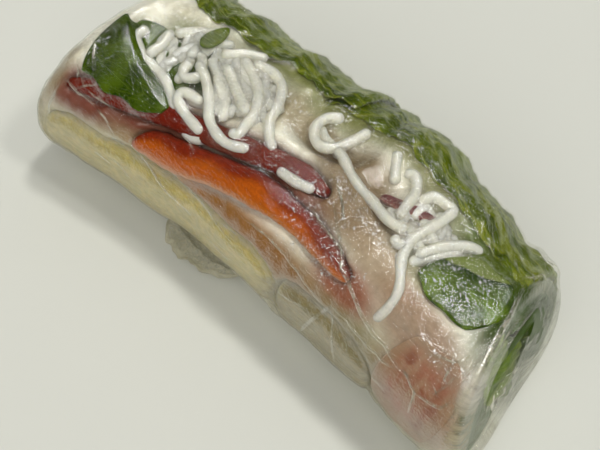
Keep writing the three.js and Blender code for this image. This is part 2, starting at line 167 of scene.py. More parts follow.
# The wrapper's box in the frame, set against the plain form's near end and back, gives the
# roll's place.
_, wrap_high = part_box("rice_paper")
SHIFT = 1000 * np.array(wrap_high) - [NEAR_END + NEAR_SLANT, SIDE_BOW + HALF_WIDTH, 0]
SHIFT[2] = 0


def new_piece(name, points, faces, finishes, slot, node):
    """A mesh of points in millimetres, in the roll's place in the frame. It rides on the roll's
    body, wears the finishes given and stands for a node of the part. Its slot is not used."""
    mesh = bpy.data.meshes.new(name)
    mesh.from_pydata(((points + SHIFT) / 1000).tolist(), [], faces)
    mesh.polygons.foreach_set("use_smooth", [True] * len(mesh.polygons))
    for finish in finishes:
        mesh.materials.append(finish)
    piece = bpy.data.objects.new(name, mesh)
    bpy.context.scene.collection.objects.link(piece)
    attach(piece, "root")
    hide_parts(node)
    return piece


def give_values(piece, name, values):
    """Stores one number, one vector or one colour for each point of a piece."""
    kinds = {3: ("FLOAT_VECTOR", "vector"), 4: ("FLOAT_COLOR", "color")}
    kind, key = ("FLOAT", "value") if np.ndim(values) == 1 else kinds[values.shape[-1]]
    layer = piece.data.attributes.new(name, kind, "POINT")
    layer.data.foreach_set(key, np.asarray(values, np.float32).ravel())


def grid_faces(rows, columns, closed=False, start=0):
    """Quads over a grid of points stored row by row; closed joins the last column to the first."""
    row, column = np.mgrid[0 : rows - 1, 0 : columns if closed else columns - 1]
    beside = (column + 1) % columns
    here = start + row * columns
    corners = [here + column, here + beside, here + columns + beside, here + columns + column]
    return np.stack(corners, -1).reshape(-1, 4).tolist()


def sheet(at, columns, rows, thick):
    """A thin closed sheet: at(u, v, inward) with u and v from -1 to 1. Gives its points and
    faces, and u and v at each point."""
    v, u = np.mgrid[-1 : 1 : (rows + 1) * 1j, -1 : 1 : (columns + 1) * 1j]
    layers = [at(u, v, side * thick / 2).reshape(-1, 3) for side in (-1, 1)]
    width, count = columns + 1, layers[0].shape[0]
    faces = [face[::-1] for face in grid_faces(rows + 1, width)]
    faces += grid_faces(rows + 1, width, start=count)
    rim = [*range(columns)] + [j * width + columns for j in range(rows)]
    rim += [rows * width + i for i in range(columns, 0, -1)]
    rim += [j * width for j in range(rows, 0, -1)]
    for here, after in zip(rim, rim[1:] + rim[:1]):
        faces.append([here, after, after + count, here + count])
    return np.vstack(layers), faces, np.tile(u.ravel(), 2), np.tile(v.ravel(), 2)


def round_off(u, v, corner=0.5):
    """The square of u and v drawn in to a round leaf; a smaller corner keeps it squarer."""
    return u * np.sqrt(1 - corner * v**2), v * np.sqrt(1 - corner * u**2)


def srgb(red, green, blue):
    """A colour given as it looks on a screen, 0 to 255, as the linear colour of a finish."""
    def linear(value):
        value /= 255
        return value / 12.92 if value <= 0.04045 else ((value + 0.055) / 1.055) ** 2.4

    return (linear(red), linear(green), linear(blue), 1.0)


class Wire:
    """A socket of a finish. Plain arithmetic on wires adds the Math nodes it needs."""

    def __init__(self, finish, socket):
        self.finish = finish
        self.socket = socket

    def math(self, operation, first, second=0.0):
        return self.finish.node("ShaderNodeMath", {"operation": operation}, {0: first, 1: second})

    def __add__(self, other):
        return self.math("ADD", self, other)

    def __radd__(self, other):
        return self.math("ADD", other, self)

    def __sub__(self, other):
        return self.math("SUBTRACT", self, other)

    def __rsub__(self, other):
        return self.math("SUBTRACT", other, self)

    def __mul__(self, other):
        return self.math("MULTIPLY", self, other)

    def __rmul__(self, other):
        return self.math("MULTIPLY", other, self)

    def away_from(self, value):
        return self.math("ABSOLUTE", self - value)

    def clipped(self):
        return self.math("MAXIMUM", self.math("MINIMUM", self, 1.0), 0.0)

    def eased(self, low, high):
        """0 below low, 1 above high and smooth between."""
        return self.finish.node(
            "ShaderNodeMapRange", {"interpolation_type": "SMOOTHSTEP"}, {0: self, 1: low, 2: high}
        )


class Finish:
    """A material made of nodes, with the few kinds of node this roll's finishes are made of."""

    def __init__(self, name):
        self.material = bpy.data.materials.new(name)
        self.material.use_nodes = True
        self.tree = self.material.node_tree
        self.tree.nodes.clear()

    def node(self, kind, settings=None, sockets=None, output=0):
        made = self.tree.nodes.new(kind)
        for key, value in (settings or {}).items():
            setattr(made, key, value)
        for key, value in (sockets or {}).items():
            if isinstance(value, Wire):
                self.tree.links.new(value.socket, made.inputs[key])
            else:
                made.inputs[key].default_value = value
        return Wire(self, made.outputs[output])

    def stored(self, name, output="Fac"):
        return self.node("ShaderNodeAttribute", {"attribute_name": name}, output=output)

    def stretched(self, place, scale):
        return self.node("ShaderNodeVectorMath", {"operation": "MULTIPLY"}, {0: place, 1: scale})

    def noise(self, place, scale, detail=2.0, roughness=0.5, distortion=0.0):
        """Noise with so many spots a unit, or with so many along each of three directions."""
        if isinstance(scale, tuple):
            place, scale = self.stretched(place, scale), 1.0
        sockets = {"Vector": place, "Scale": scale, "Detail": detail}
        sockets |= {"Roughness": roughness, "Distortion": distortion}
        return self.node("ShaderNodeTexNoise", {}, sockets)

    def net(self, place, scale):
        """How far each place is from the lines of a net of cells."""
        settings = {"feature": "DISTANCE_TO_EDGE"}
        sockets = {"Vector": self.stretched(place, scale), "Scale": 1.0}
        return self.node("ShaderNodeTexVoronoi", settings, sockets, "Distance")

    def blend(self, share, first, second, how="MIX"):
        settings = {"data_type": "RGBA", "blend_type": how}
        return self.node("ShaderNodeMix", settings, {0: share, 6: first, 7: second}, 2)

    def place(self):
        """Where each point of a piece is, in metres."""
        return self.node("ShaderNodeTexCoord", output="Object")

    def clear(self, colour):
        return self.node("ShaderNodeBsdfTransparent", {}, {"Color": colour})

    def between(self, share, first, second):
        """One way to shine where share is 0 and another where it is 1."""
        return self.node("ShaderNodeMixShader", {}, {0: share, 1: first, 2: second})

    def bump(self, height, distance, strength):
        sockets = {"Height": height, "Distance": distance, "Strength": strength}
        return self.node("ShaderNodeBump", {}, sockets)

    def matter(self, colour, normal, roughness, gloss, softness=0.0, radius=(1, 1, 1), scale=0.001):
        """Matter that light sinks into, as far as its softness and the radius and scale say."""
        return self.node("ShaderNodeBsdfPrincipled", {}, {
            "Base Color": colour,
            "Roughness": roughness,
            "Specular IOR Level": gloss,
            "Subsurface Weight": softness,
            "Subsurface Radius": radius,
            "Subsurface Scale": scale,
            "Normal": normal,
        })

    def shown(self, shader):
        out = self.tree.nodes.new("ShaderNodeOutputMaterial")
        self.tree.links.new(shader.socket, out.inputs["Surface"])
        return self.material


LEAF_THICK = 0.55
LEAF_DEPTH = 0.65  # of its middle, under the outside of the paper
LETTUCE_MIDDLE = 161  # how far round its middle lies, and how far it reaches both ways
LETTUCE_REACH = 43
LETTUCE_PUCKER = 0.35  # how much deeper its puckered blade lies
KNOB_ALONG = 46.5  # the middle of a knob where the near leaf is crumpled
KNOB_AROUND = 152
KNOB_REACH = 4.2
LETTUCE_RIB = srgb(150, 158, 50)
LETTUCE_GREEN = srgb(94, 110, 8)
LETTUCE_DARK = srgb(50, 66, 4)


def lettuce_puckers(along, around):
    """Height of the puckers between the veins, in millimetres."""
    arc = MM_PER_DEGREE * around
    bend = 1.6 * np.sin(0.23 * along + 0.3 * arc)
    pucker = np.sin(1.15 * along + 0.8 * arc + bend) * np.sin(0.9 * arc - 0.5 * along)
    return 0.22 * pucker + 0.12 * np.sin(2.3 * along + 1.9 * arc + 2 * bend)


def lettuce_leaf(name, middle, reach, wave, tucked_until):
    def at(u, v, inward):
        along = middle + reach * u
        ruffle = np.sin(wave * along) + 0.6 * np.sin(2.2 * wave * along + 1.5)
        around = LETTUCE_MIDDLE + LETTUCE_REACH * v + 1.3 * ruffle * np.abs(v)
        depth = LEAF_DEPTH + LETTUCE_PUCKER + lettuce_puckers(along, around)
        depth = depth + 1.3 * ease((tucked_until - along) / 5)
        off = np.hypot(along - KNOB_ALONG, MM_PER_DEGREE * (around - KNOB_AROUND)) / KNOB_REACH
        depth = depth - 0.9 * np.exp(-(off**2))
        stored.append(np.stack([along, MM_PER_DEGREE * around, v + 0 * u], -1).reshape(-1, 3))
        return on_roll(along, around, depth + inward * (1 - 0.85 * v**8))

    stored = []
    points, faces, _, _ = sheet(at, 150, 84, LEAF_THICK)
    leaf = new_piece(name + "_leaf", points, faces, [lettuce_finish], "lettuce", name)
    give_values(leaf, "leaf_mm", np.vstack(stored))
    return leaf


def leaf_finish(name, rib, green, dark, vein_width, vein_share=0.55, gloss=0.06, underside=None):
    """A leaf: a net of pale veins, patches of lighter and darker green, a fine grain. Where a
    leaf is folded over, its underside shows along the upper edge, and below the fold painted
    shade darkens it, darkest in a line along the fold."""
    finish = Finish(name)
    place = finish.stored("leaf_mm", "Vector")
    warp = finish.noise(place, 0.22)
    vein = 1 - finish.net(place, (0.09, 0.4, 0.0)).eased(0.0, vein_width)
    fine_vein = 1 - finish.net(place, (0.3, 0.8, 0.0)).eased(0.0, 0.09)
    patches = finish.noise(place, 0.12, 3.0, 0.6).eased(0.36, 0.62)
    grain = finish.noise(place, 1.8, 3.0)
    colour = finish.blend(patches, dark, green)
    colour = finish.blend((vein_share * (vein + 0.4 * fine_vein * warp)).clipped(), colour, rib)
    colour = finish.blend(grain.eased(0.35, 0.65) * 0.4, colour, green)
    if underside:
        past_fold = finish.stored("past_fold") + 0.3 * (warp - 0.5)
        fold_shade_line = 1 - past_fold.away_from(0.0).eased(0.02, 0.12)
        # Painted shade under the fold: darker towards the fold from below, darkest in a line along
        # it.
        colour = finish.blend(0.7 * past_fold.eased(-1.0, 0.0), colour, dark)
        colour = finish.blend(past_fold.eased(0.0, 0.05), colour, underside)
        colour = finish.blend(0.8 * fold_shade_line, colour, dark)
    height = vein_share * (0.6 * vein + 0.35 * fine_vein) + 0.35 * grain
    normal = finish.bump(height, 0.00035, 0.8)
    matter = finish.matter(colour, normal, 0.4, gloss, 0.12, (0.6, 1.0, 0.2), 0.0012)
    return finish.shown(matter)


lettuce_finish = leaf_finish("lettuce", LETTUCE_RIB, LETTUCE_GREEN, LETTUCE_DARK, vein_width=0.12)
fillings = [
    lettuce_leaf("lettuce_far", -23.5, 27.0, 0.42, -90),
    lettuce_leaf("lettuce_near", 23.6, 26.2, 0.5, 9),
]

# ---------------------------------------------------------------- herb leaves
# Whole soft herb leaves lie over the noodles at both ends, and one narrow tip shows between
# them. They are deep green, matt above and pale beneath; the near one is folded over, so that
# a pale strip of its underside shows, and the shade under its fold is painted on.

HERB_GREEN = srgb(70, 92, 2)
HERB_DARK = srgb(26, 46, 0)
HERB_RIB = srgb(96, 116, 26)
HERB_UNDERSIDE = srgb(128, 146, 70)
NEAR_HERB_GREEN = srgb(92, 120, 8)
NEAR_HERB_DARK = srgb(28, 50, 0)
NEAR_UNDERSIDE = srgb(112, 126, 56)


def small_leaf(name, at, finish, slot):
    """A leaf or slice as large as a fingertip; at turns u and v into along, around and depth."""
    stored = []

    def placed(u, v, inward):
        along, around, depth = at(u, v)
        stored.append(np.stack([along, MM_PER_DEGREE * around, v + 0 * u], -1).reshape(-1, 3))
        return on_roll(along, around, depth + inward)

    points, faces, across, up = sheet(placed, 72, 72, LEAF_THICK)
    leaf = new_piece(name + "_leaf", points, faces, [finish], slot, name)
    give_values(leaf, "leaf_mm", np.vstack(stored))
    give_values(leaf, "past_fold", up - 0.76 * across - 0.66)
    give_values(leaf, "edge", np.maximum(np.abs(across), np.abs(up)))
    return leaf


def herb_far(u, v):
    a, b = round_off(u, v, 0.3)
    along = -36 + 12.6 * a - 3 * b
    around = 66 + 26 * b + 1.2 * np.sin(9 * a) * (b < 0) * np.abs(b)
    past = around - 78 + 1.35 * (along + 41)
    dive = 2.3 * ease((past + 6) / 7)
    return along, around, LEAF_DEPTH + dive + 0.1 * np.sin(6 * a + 5 * b)


def herb_tip(u, v):
    a, b = round_off(u, v)
    return -27.5 + 1.6 * a * (1 - 0.3 * b), 104 + 11 * b, LEAF_DEPTH + 0.1 * a


def herb_near(u, v):
    a, b = round_off(u, v, 0.35)
    along = 44.2 + 7 * a * (1 - 0.12 * b) + 2.4 * b
    around = 88 + 23 * b + 0.8 * np.sin(7 * a) * np.abs(b)
    return along, around, LEAF_DEPTH + 0.08 * (1 + np.sin(5 * a + 4 * b))


herb_finish = leaf_finish("herb", HERB_RIB, HERB_GREEN, HERB_DARK, 0.04, vein_share=0.3)
herb_tip_finish = leaf_finish("herb_tip", HERB_UNDERSIDE, LETTUCE_GREEN, HERB_GREEN, 0.06)
near_herb_finish = leaf_finish(
    "herb_near", HERB_RIB, NEAR_HERB_GREEN, NEAR_HERB_DARK, 0.04, 0.3, underside=NEAR_UNDERSIDE
)
fillings += [
    small_leaf("herb_far", herb_far, herb_finish, "herb"),
    small_leaf("herb_tip", herb_tip, herb_tip_finish, "lettuce"),
    small_leaf("herb_near", herb_near, near_herb_finish, "herb"),
]

# ---------------------------------------------------------------- pepper strips
# Two strips of red pepper, cut lengthways. Each has its shiny red skin along the upper edge and
# orange flesh below it. They lie slantwise on the noodles, the back one half under them.

PEPPER_SKIN = srgb(116, 34, 12)
PEPPER_FLESH = srgb(176, 84, 12)
PEPPER_INSIDE = srgb(178, 108, 40)
DEEP_PEPPER = srgb(104, 26, 10)
MAUVE_PEPPER = srgb(98, 50, 40)


def smooth_line(points, count):
    """A smooth line through the given rows of numbers, as count + 1 rows."""
    given = np.asarray(points, float)
    given = np.vstack([2 * given[0] - given[1], given, 2 * given[-1] - given[-2]])
    place = np.linspace(0, len(given) - 3, count + 1)
    first = np.minimum(place.astype(int), len(given) - 4)
    t = (place - first)[:, None]
    a, b, c, d = (given[first + k] for k in range(4))
    bend = (2 * a - 5 * b + 4 * c - d) * t**2 + (3 * b - a - 3 * c + d) * t**3
    return 0.5 * (2 * b + (c - a) * t + bend)


def loft(rings):
    """Points and faces of a closed body through rings of points, each end shut by one face."""
    count, sides = rings.shape[:2]
    faces = grid_faces(count, sides, closed=True)
    faces += [list(range(sides))[::-1], [(count - 1) * sides + k for k in range(sides)]]
    return rings.reshape(-1, 3), faces


def mixed(share, first, second):
    """Row by row mix of two colours or colour arrays."""
    return mix(np.asarray(first), np.asarray(second), np.clip(share, 0, 1)[:, None])


def cut_finish(name, grain_size, grain_depth, softness):
    """Wet cut vegetable: its own colours, a fine cell grain, and light that sinks in."""
    finish = Finish(name)
    place = finish.stored("cut_mm", "Vector")
    grain = finish.noise(place, grain_size, 3.0, 0.6)
    fibres = finish.noise(place, (0.25, 1.6, 1.6))
    colour = finish.blend(grain.eased(0.42, 0.62) * 0.5, finish.stored("tint", "Color"),
                          (0.9, 0.78, 0.6, 1), "SOFT_LIGHT")
    colour = finish.blend(fibres.eased(0.4, 0.65) * 0.22, colour, (0.25, 0.2, 0.15, 1), "OVERLAY")
    normal = finish.bump(grain, grain_depth, 0.6)
    matter = finish.matter(colour, normal, 0.35, 0.1, softness, (1.0, 0.5, 0.25), 0.0015)
    return finish.shown(matter)


STRIP_STEPS = 90
STRIP_SIDES = 28


def cut_piece(name, route, top, thick, tints, finish, slot, waver=0.02):
    """A cut strip with rounded corners, from rows of along, around and half width in mm, and
    from the depth of its top and its thickness. It is coloured by tints(across, share, along):
    how far across (-1 low edge, 1 high edge), how far from its start to its end (0 to 1) and
    how far along the roll."""
    line = smooth_line(route, STRIP_STEPS)
    share = np.linspace(0, 1, STRIP_STEPS + 1)[:, None]
    turn = np.linspace(0, 2 * np.pi, STRIP_SIDES, endpoint=False)[None, :]
    corner = (np.cos(turn) ** 4 + np.sin(turn) ** 4) ** -0.25
    blunt = np.sqrt(np.clip(1 - np.abs(2 * share - 1) ** 12, 0.02, 1)) * 0.55 + 0.45
    across = -np.cos(turn) * corner
    along, around, half = (line[:, k : k + 1] for k in range(3))
    edge = 1 + waver * np.sin(0.9 * along + 2 * across) + waver * np.sin(2.1 * along)
    turned = around + np.degrees(across * half * blunt * edge / half_width(along))
    depth = top + thick / 2 * (1 - np.sin(turn) * corner * blunt)
    points, faces = loft(on_roll(along + 0 * across, turned, depth))
    piece = new_piece(name + "_cut", points, faces, [finish], slot, name)
    at_points = [(each + 0 * depth).ravel() for each in (across, share, along)]
    give_values(piece, "tint", tints(*at_points))
    give_values(piece, "cut_mm", points)
    return piece


def front_pepper_tints(across, share, along):
    skin_line = 0.42 - 0.35 * ease((share - 0.55) / 0.4) + 0.16 * np.sin(0.55 * along)
    skin = ease((across - skin_line + 0.45) / 0.75)
    tint = mixed(ease((across + 1.0) / 0.8), PEPPER_INSIDE, PEPPER_FLESH)
    tint = mixed(skin, tint, PEPPER_SKIN)
    return mixed(0.75 * ease((0.16 - share) / 0.16), tint, PEPPER_SKIN)


def back_pepper_tints(across, share, along):
    tint = mixed(ease((0.62 - share) / 0.2) * ease((share - 0.36) / 0.1), DEEP_PEPPER, MAUVE_PEPPER)
    return mixed(0.6 * ease((across - 0.2) / 0.8) * (share > 0.6), tint, PEPPER_SKIN)


pepper_finish = cut_finish("pepper", 2.0, 0.0003, 0.15)
fillings += [
    cut_piece(
        "pepper_front",
        [[-25.4, 23.5, 0.5], [-23, 27, 2.6], [-15, 31, 3.6], [-6, 38, 3.5], [2, 43.5, 3.6],
         [10, 45, 2.9], [19, 43.5, 2.5], [27, 40, 1.5]],
        0.38, 4, front_pepper_tints, pepper_finish, "pepper_orange",
    ),
    cut_piece(
        "pepper_back",
        [[-47, 33, 1.8], [-35, 39, 2.8], [-20, 47, 2.8], [-6, 56, 3.0], [1, 62, 3.0],
         [7, 66, 2.8], [13, 66.5, 1.6]],
        1.2, 3.4, back_pepper_tints, pepper_finish, "pepper_red",
    ),
]

# ---------------------------------------------------------------- cucumber, cabbage and meat
# Two bars of cucumber lie side by side along the front, their pale seedy flesh against the
# paper. A shred of purple cabbage shows between the noodles, and a thin slice of cooked pink
# meat fills the front of the near end. All are cut by hand and only held by the wrap.

CUCUMBER_FLESH = srgb(182, 170, 108)
CUCUMBER_EDGE = srgb(174, 166, 112)
CUCUMBER_SHADE = srgb(160, 150, 98)
NEAR_CUCUMBER = srgb(146, 134, 98)
NEAR_CUCUMBER_EDGE = srgb(156, 146, 108)
CABBAGE_PURPLE = srgb(98, 44, 50)
CABBAGE_EDGE = srgb(140, 84, 82)
MEAT_PINK = srgb(156, 98, 76)
MEAT_PALE = srgb(164, 126, 102)
MEAT_RED = srgb(126, 56, 32)
MEAT_RIM = srgb(158, 128, 102)


def far_cucumber_tints(across, share, along):
    seeds = 0.5 + 0.5 * np.sin(0.8 * along + 3 * np.sin(2 * across))
    tint = mixed(0.2 * seeds, CUCUMBER_FLESH, CUCUMBER_EDGE)
    return mixed(ease((0.1 - across) / 1.2), tint, CUCUMBER_SHADE)


def near_cucumber_tints(across, share, along):
    seeds = 0.5 + 0.5 * np.sin(1.1 * along + 4 * np.sin(3 * across))
    tint = mixed(0.5 * seeds, NEAR_CUCUMBER, NEAR_CUCUMBER_EDGE)
    return mixed(0.7 * ease((0.12 - share) / 0.12), tint, CUCUMBER_EDGE)


def cabbage_tints(across, share, along):
    return mixed(ease((np.abs(across) - 0.55) / 0.4), CABBAGE_PURPLE, CABBAGE_EDGE)


cucumber_finish = cut_finish("cucumber", 0.7, 0.0003, 0.35)
cabbage_finish = cut_finish("cabbage", 1.5, 0.0002, 0.1)
fillings += [
    cut_piece(
        "cucumber_far", [[-50, -4, 6.5], [-30, -4, 7.6], [-8, -3, 7.8], [13, -2, 7]],
        0.7, 5, far_cucumber_tints, cucumber_finish, "cucumber",
    ),
    cut_piece(
        "cucumber_near", [[15, -2, 6.6], [26, -3, 7.6], [38, -4, 6.8]],
        0.7, 5, near_cucumber_tints, cucumber_finish, "cucumber_pale",
    ),
    cut_piece(
        "cabbage_shred", [[20.5, 88, 1.1], [25, 93, 1.6], [31, 101, 1]],
        1.7, 1.4, cabbage_tints, cabbage_finish, "cabbage", waver=0.05,
    ),
]


def meat_slice(u, v):
    a, b = round_off(u, v, 0.4)
    along = 48 + 7.8 * a + 1.6 * b
    around = 22 + 30 * b + 1.5 * np.sin(6 * a) * np.abs(b)
    return along, around, LEAF_DEPTH + 0.15 * (1 + np.sin(3 * a - 2 * b))


meat = Finish("meat")
meat_place = meat.stored("leaf_mm", "Vector")
meat_fibres = meat.noise(meat_place, (0.63, 0.175, 0.7), 4.0, 0.6)
meat_patches = meat.noise(meat_place, 0.16)
meat_colour = meat.blend(meat_fibres.eased(0.35, 0.65), MEAT_PINK, MEAT_PALE)
meat_colour = meat.blend(meat_patches.eased(0.52, 0.68) * 0.8, meat_colour, MEAT_RED)
meat_colour = meat.blend(meat.stored("edge").eased(0.45, 1.0) * 0.95, meat_colour, MEAT_RIM)
meat_normal = meat.bump(meat_fibres, 0.0003, 0.7)
meat_shader = meat.matter(meat_colour, meat_normal, 0.5, 0.1, 0.3, (1.0, 0.45, 0.3), 0.0015)
meat_finish = meat.shown(meat_shader)
fillings.append(small_leaf("meat_slice", meat_slice, meat_finish, "meat"))

# ---------------------------------------------------------------- the leaf in the pocket
# A bright leaf end, folded along its rib, stands in the open pocket of the near end. It is the
# end of a herb leaf that the paper was tucked round.

MOUTH_HALF_LENGTH = 9.3
MOUTH_HALF_HEIGHT = 4.2
MOUTH_SIDE = -1.1
MOUTH_HEIGHT = 21.5
MOUTH_TILT = math.radians(33)
MOUTH_RECESS = 1.2
LEAF_CREASE = 8  # how far down the leaf its fold lies


def pocket_leaf(u, v, inward):
    a, b = round_off(u, v)
    down = 12 - 12 * b
    out = 9.6 * a * (1 - down / 28) ** 0.8 - 0.27 * down
    side = MOUTH_SIDE - 2.7 + out * math.cos(MOUTH_TILT) + down * math.sin(MOUTH_TILT)
    height = MOUTH_HEIGHT + 4.2 + out * math.sin(MOUTH_TILT) - down * math.cos(MOUTH_TILT)
    fold = 1.1 * np.exp(-(((down - LEAF_CREASE - 0.12 * out) / 1.2) ** 2))
    cockle = 0.25 * np.sin(0.8 * out + 0.3 * down) + 0.15 * np.sin(1.9 * out - 0.9 * down)
    along = end_wall(side, height) - 2.7 - fold + cockle
    return np.stack(np.broadcast_arrays(along - inward, side, height), -1)


BRIGHT_LEAF = srgb(118, 142, 34)
BRIGHT_RIB = srgb(146, 162, 66)
SHADED_LEAF = srgb(62, 86, 20)
pocket_finish = leaf_finish("pocket_leaf", BRIGHT_RIB, BRIGHT_LEAF, SHADED_LEAF, 0.06, gloss=0.6)
leaf_points, leaf_faces, _, _ = sheet(pocket_leaf, 80, 60, LEAF_THICK)
pocket = new_piece(
    "folded_leaf", leaf_points, leaf_faces, [pocket_finish], "lettuce", "pocket_leaf"
)
give_values(pocket, "leaf_mm", leaf_points[:, [1, 2, 0]])
fillings.append(pocket)

# ---------------------------------------------------------------- packed noodles
# Cooked rice vermicelli, pressed into one soft white mass that fills the roll and gives way to
# whatever lies over it. The juices of the vegetables have stained it: yellow by the cucumber,
# brown and pink by the peppers and the meat, green by the leaves. Its end in the pocket is
# painted the dark green of a leaf in shade, as painted shade.

NOODLE_WHITE = srgb(251, 248, 235)
CORE_DEPTH = 0.8  # how deep they lie where nothing is above them
SEARCH_DEPTH = 9.0  # and how deep a filling above them is looked for
ROOM = 0.15  # between them and a filling
# along, around, how far it reaches along and around, colour, strength
STAINS = [
    (-30, -5, 34, 34, srgb(178, 166, 108), 1.0),
    (30, 4, 26, 40, srgb(144, 132, 94), 1.0),
    (3, 23, 26, 13, srgb(150, 104, 56), 1.0),
    (-24, 27, 12, 9, srgb(140, 112, 70), 0.8),
    (-17, 24, 10, 6, srgb(172, 104, 44), 0.8),
    (-41, 32, 14, 17, srgb(112, 44, 28), 0.95),
    (-26, 38, 14, 11, srgb(108, 46, 30), 0.95),
    (-53, 30, 6, 30, srgb(168, 148, 108), 0.8),
    (-18, 48, 24, 16, srgb(118, 76, 62), 0.8),
    (6, 61, 18, 13, srgb(114, 60, 44), 0.95),
    (20, 72, 10, 22, srgb(140, 116, 84), 0.9),
    (31, 58, 12, 14, srgb(170, 148, 122), 0.9),
    (27, 38, 9, 12, srgb(150, 82, 56), 0.95),
    (-2, 98, 12, 16, srgb(170, 158, 128), 0.95),
    (8, 94, 12, 16, srgb(150, 132, 102), 0.95),
    (-35, 106, 8, 12, srgb(206, 200, 174), 0.6),
    (14, 86, 12, 20, srgb(140, 118, 88), 0.9),
    (-2, 51, 18, 7, srgb(104, 50, 36), 0.9),
    (42, 50, 12, 18, srgb(158, 128, 104), 0.9),
    (50, 20, 12, 34, srgb(158, 118, 92), 0.85),
    (38, 72, 8, 10, srgb(130, 128, 80), 0.7),
    (-30, 90, 10, 24, srgb(90, 110, 44), 0.8),
    (-22.5, 73, 6, 9, srgb(56, 74, 28), 0.95),
    (-4, 124, 26, 18, srgb(128, 132, 64), 0.95),
    (22, 122, 20, 16, srgb(132, 132, 74), 0.9),
    (44, 116, 14, 18, srgb(92, 108, 36), 1.0),
    (54, 102, 8, 50, srgb(60, 80, 16), 1.0),
    (0, 165, 78, 48, srgb(76, 94, 20), 1.0),
]


def joined(bodies):
    """The points and faces of several bodies as those of one."""
    starts = np.cumsum([0] + [len(points) for points, _ in bodies]).tolist()
    faces = [
        [start + k for k in face] for start, (_, body) in zip(starts, bodies) for face in body
    ]
    return np.vstack([points for points, _ in bodies]), faces


def filling_tree(pieces):
    """One search tree of the faces of several pieces."""
    points, faces = joined([
        ([v.co[:] for v in piece.data.vertices], [face.vertices for face in piece.data.polygons])
        for piece in pieces
    ])
    return BVHTree.FromPolygons(points.tolist(), faces)


def found_depth(tree, start, direction, reach, missing):
    """How far from each start point, in mm, the tree is met in that direction, or missing."""
    found = np.full(start.shape[:-1], float(missing))
    for place in np.ndindex(found.shape):
        begin = Vector((start[place] + SHIFT) / 1000)
        hit = tree.ray_cast(begin, Vector(direction[place]), reach / 1000)
        if hit[3] is not None:
            found[place] = 1000 * hit[3]
    return found


def blurred(values):
    """Each value averaged with its four neighbours; columns close into a ring."""
    up = np.vstack([values[:1], values[:-1]])
    down = np.vstack([values[1:], values[-1:]])
    return (up + down + np.roll(values, 1, 1) + np.roll(values, -1, 1) + 2 * values) / 6


def mouth_point(around, shrink=1.0):
    """A point on the rim of the pocket mouth, a tilted oval in the near end."""
    turn, tilt = np.radians(around), MOUTH_TILT
    across = -MOUTH_HALF_LENGTH * np.cos(turn) * shrink
    up = MOUTH_HALF_HEIGHT * np.sin(turn) * shrink
    side = MOUTH_SIDE + across * math.cos(tilt) - up * math.sin(tilt)
    height = MOUTH_HEIGHT + across * math.sin(tilt) + up * math.cos(tilt)
    return np.stack([end_wall(side, height) - MOUTH_RECESS, side, height], -1)


# Where single strands lie in a tangle: along, around, how far it reaches, how many strands.
TANGLES = [(-21, 86, 15, 26, 80), (3, 99, 7, 12, 6), (30, 92, 8, 16, 20)]
TANGLE_FLOOR = 4.1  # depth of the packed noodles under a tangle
HOLE = (-22.5, 73)  # a gap between the loops, where green shows, and how wide it is in mm
HOLE_REACH = 3.6
CORE_ROWS, CORE_COLUMNS = 180, 144
CORE_START = FAR_END + 2.6
CORE_PASSES = 4
END_PASSES = 3
NEAR_INSET = 1.9  # how far they end before the near end, and how much less at the back
NEAR_INSET_LESS = 1.3
core_around = np.linspace(-90, 270, CORE_COLUMNS, endpoint=False)[None, :]
core_share = (np.linspace(0.02, 1, CORE_ROWS)[:, None]) ** 1.3
at_back = ease((core_around - 95) / 25) * ease((268 - core_around) / 25)
near_inset = NEAR_INSET - NEAR_INSET_LESS * at_back
core_along = CORE_START + (near_end(core_around) - near_inset - CORE_START) * core_share
outside = on_roll(core_along, core_around, 0.0)
inside = on_roll(core_along, core_around, SEARCH_DEPTH)
outward = outside - inside
thickness = np.linalg.norm(outward, axis=-1, keepdims=True)
above = filling_tree(fillings)
met = found_depth(above, inside, outward / thickness, SEARCH_DEPTH, -1)
under = SEARCH_DEPTH * (1 - met / thickness[..., 0]) + ROOM
least_depth = CORE_DEPTH - 0.3 * ease((core_along - 44) / 6) * at_back
core_depth = np.where(met < 0, least_depth, np.maximum(under, least_depth))
for along, around, far, wide, _ in TANGLES:
    off = np.hypot((core_along - along) / (far + 3), (core_around - around) / (wide + 6))
    core_depth = np.maximum(core_depth, mix(TANGLE_FLOOR, CORE_DEPTH, ease((off - 0.7) / 0.5)))
needed = core_depth.copy()
for _ in range(CORE_PASSES):
    core_depth = np.maximum(needed, blurred(core_depth))
lumps = 0.14 * np.sin(1.5 * core_along + 0.09 * core_around) * np.sin(0.16 * core_around)
core_rings = [on_roll(core_along, core_around, core_depth + 0.14 + lumps)]
rim_along = near_end(core_around)
rim = on_roll(rim_along, core_around, core_depth[-1:])
mouth = mouth_point(core_around) + [MOUTH_RECESS, 0, 0]
END_SHARES = (0.09, 0.16, 0.24, 0.33, 0.43, 0.54, 0.66, 0.78, 0.9, 1.0)
END_REACH = 7.0
insets = []
for end_share in END_SHARES:
    ring = mix(rim, mouth, end_share)
    ahead = np.broadcast_to([1.0, 0, 0], ring.shape)
    met = found_depth(above, ring - [END_REACH, 0, 0], ahead, END_REACH, -1)
    insets.append(np.where(met < 0, near_inset, END_REACH - met + ROOM)[0])
insets = np.array(insets)
for _ in range(END_PASSES):
    insets = np.maximum(insets, blurred(insets))
for end_share, inset in zip(END_SHARES, insets):
    ring = mix(rim, mouth, end_share)
    core_rings.append(ring - inset[:, None] * [1.0, 0, 0])
core_points, core_faces = loft(np.concatenate(core_rings))


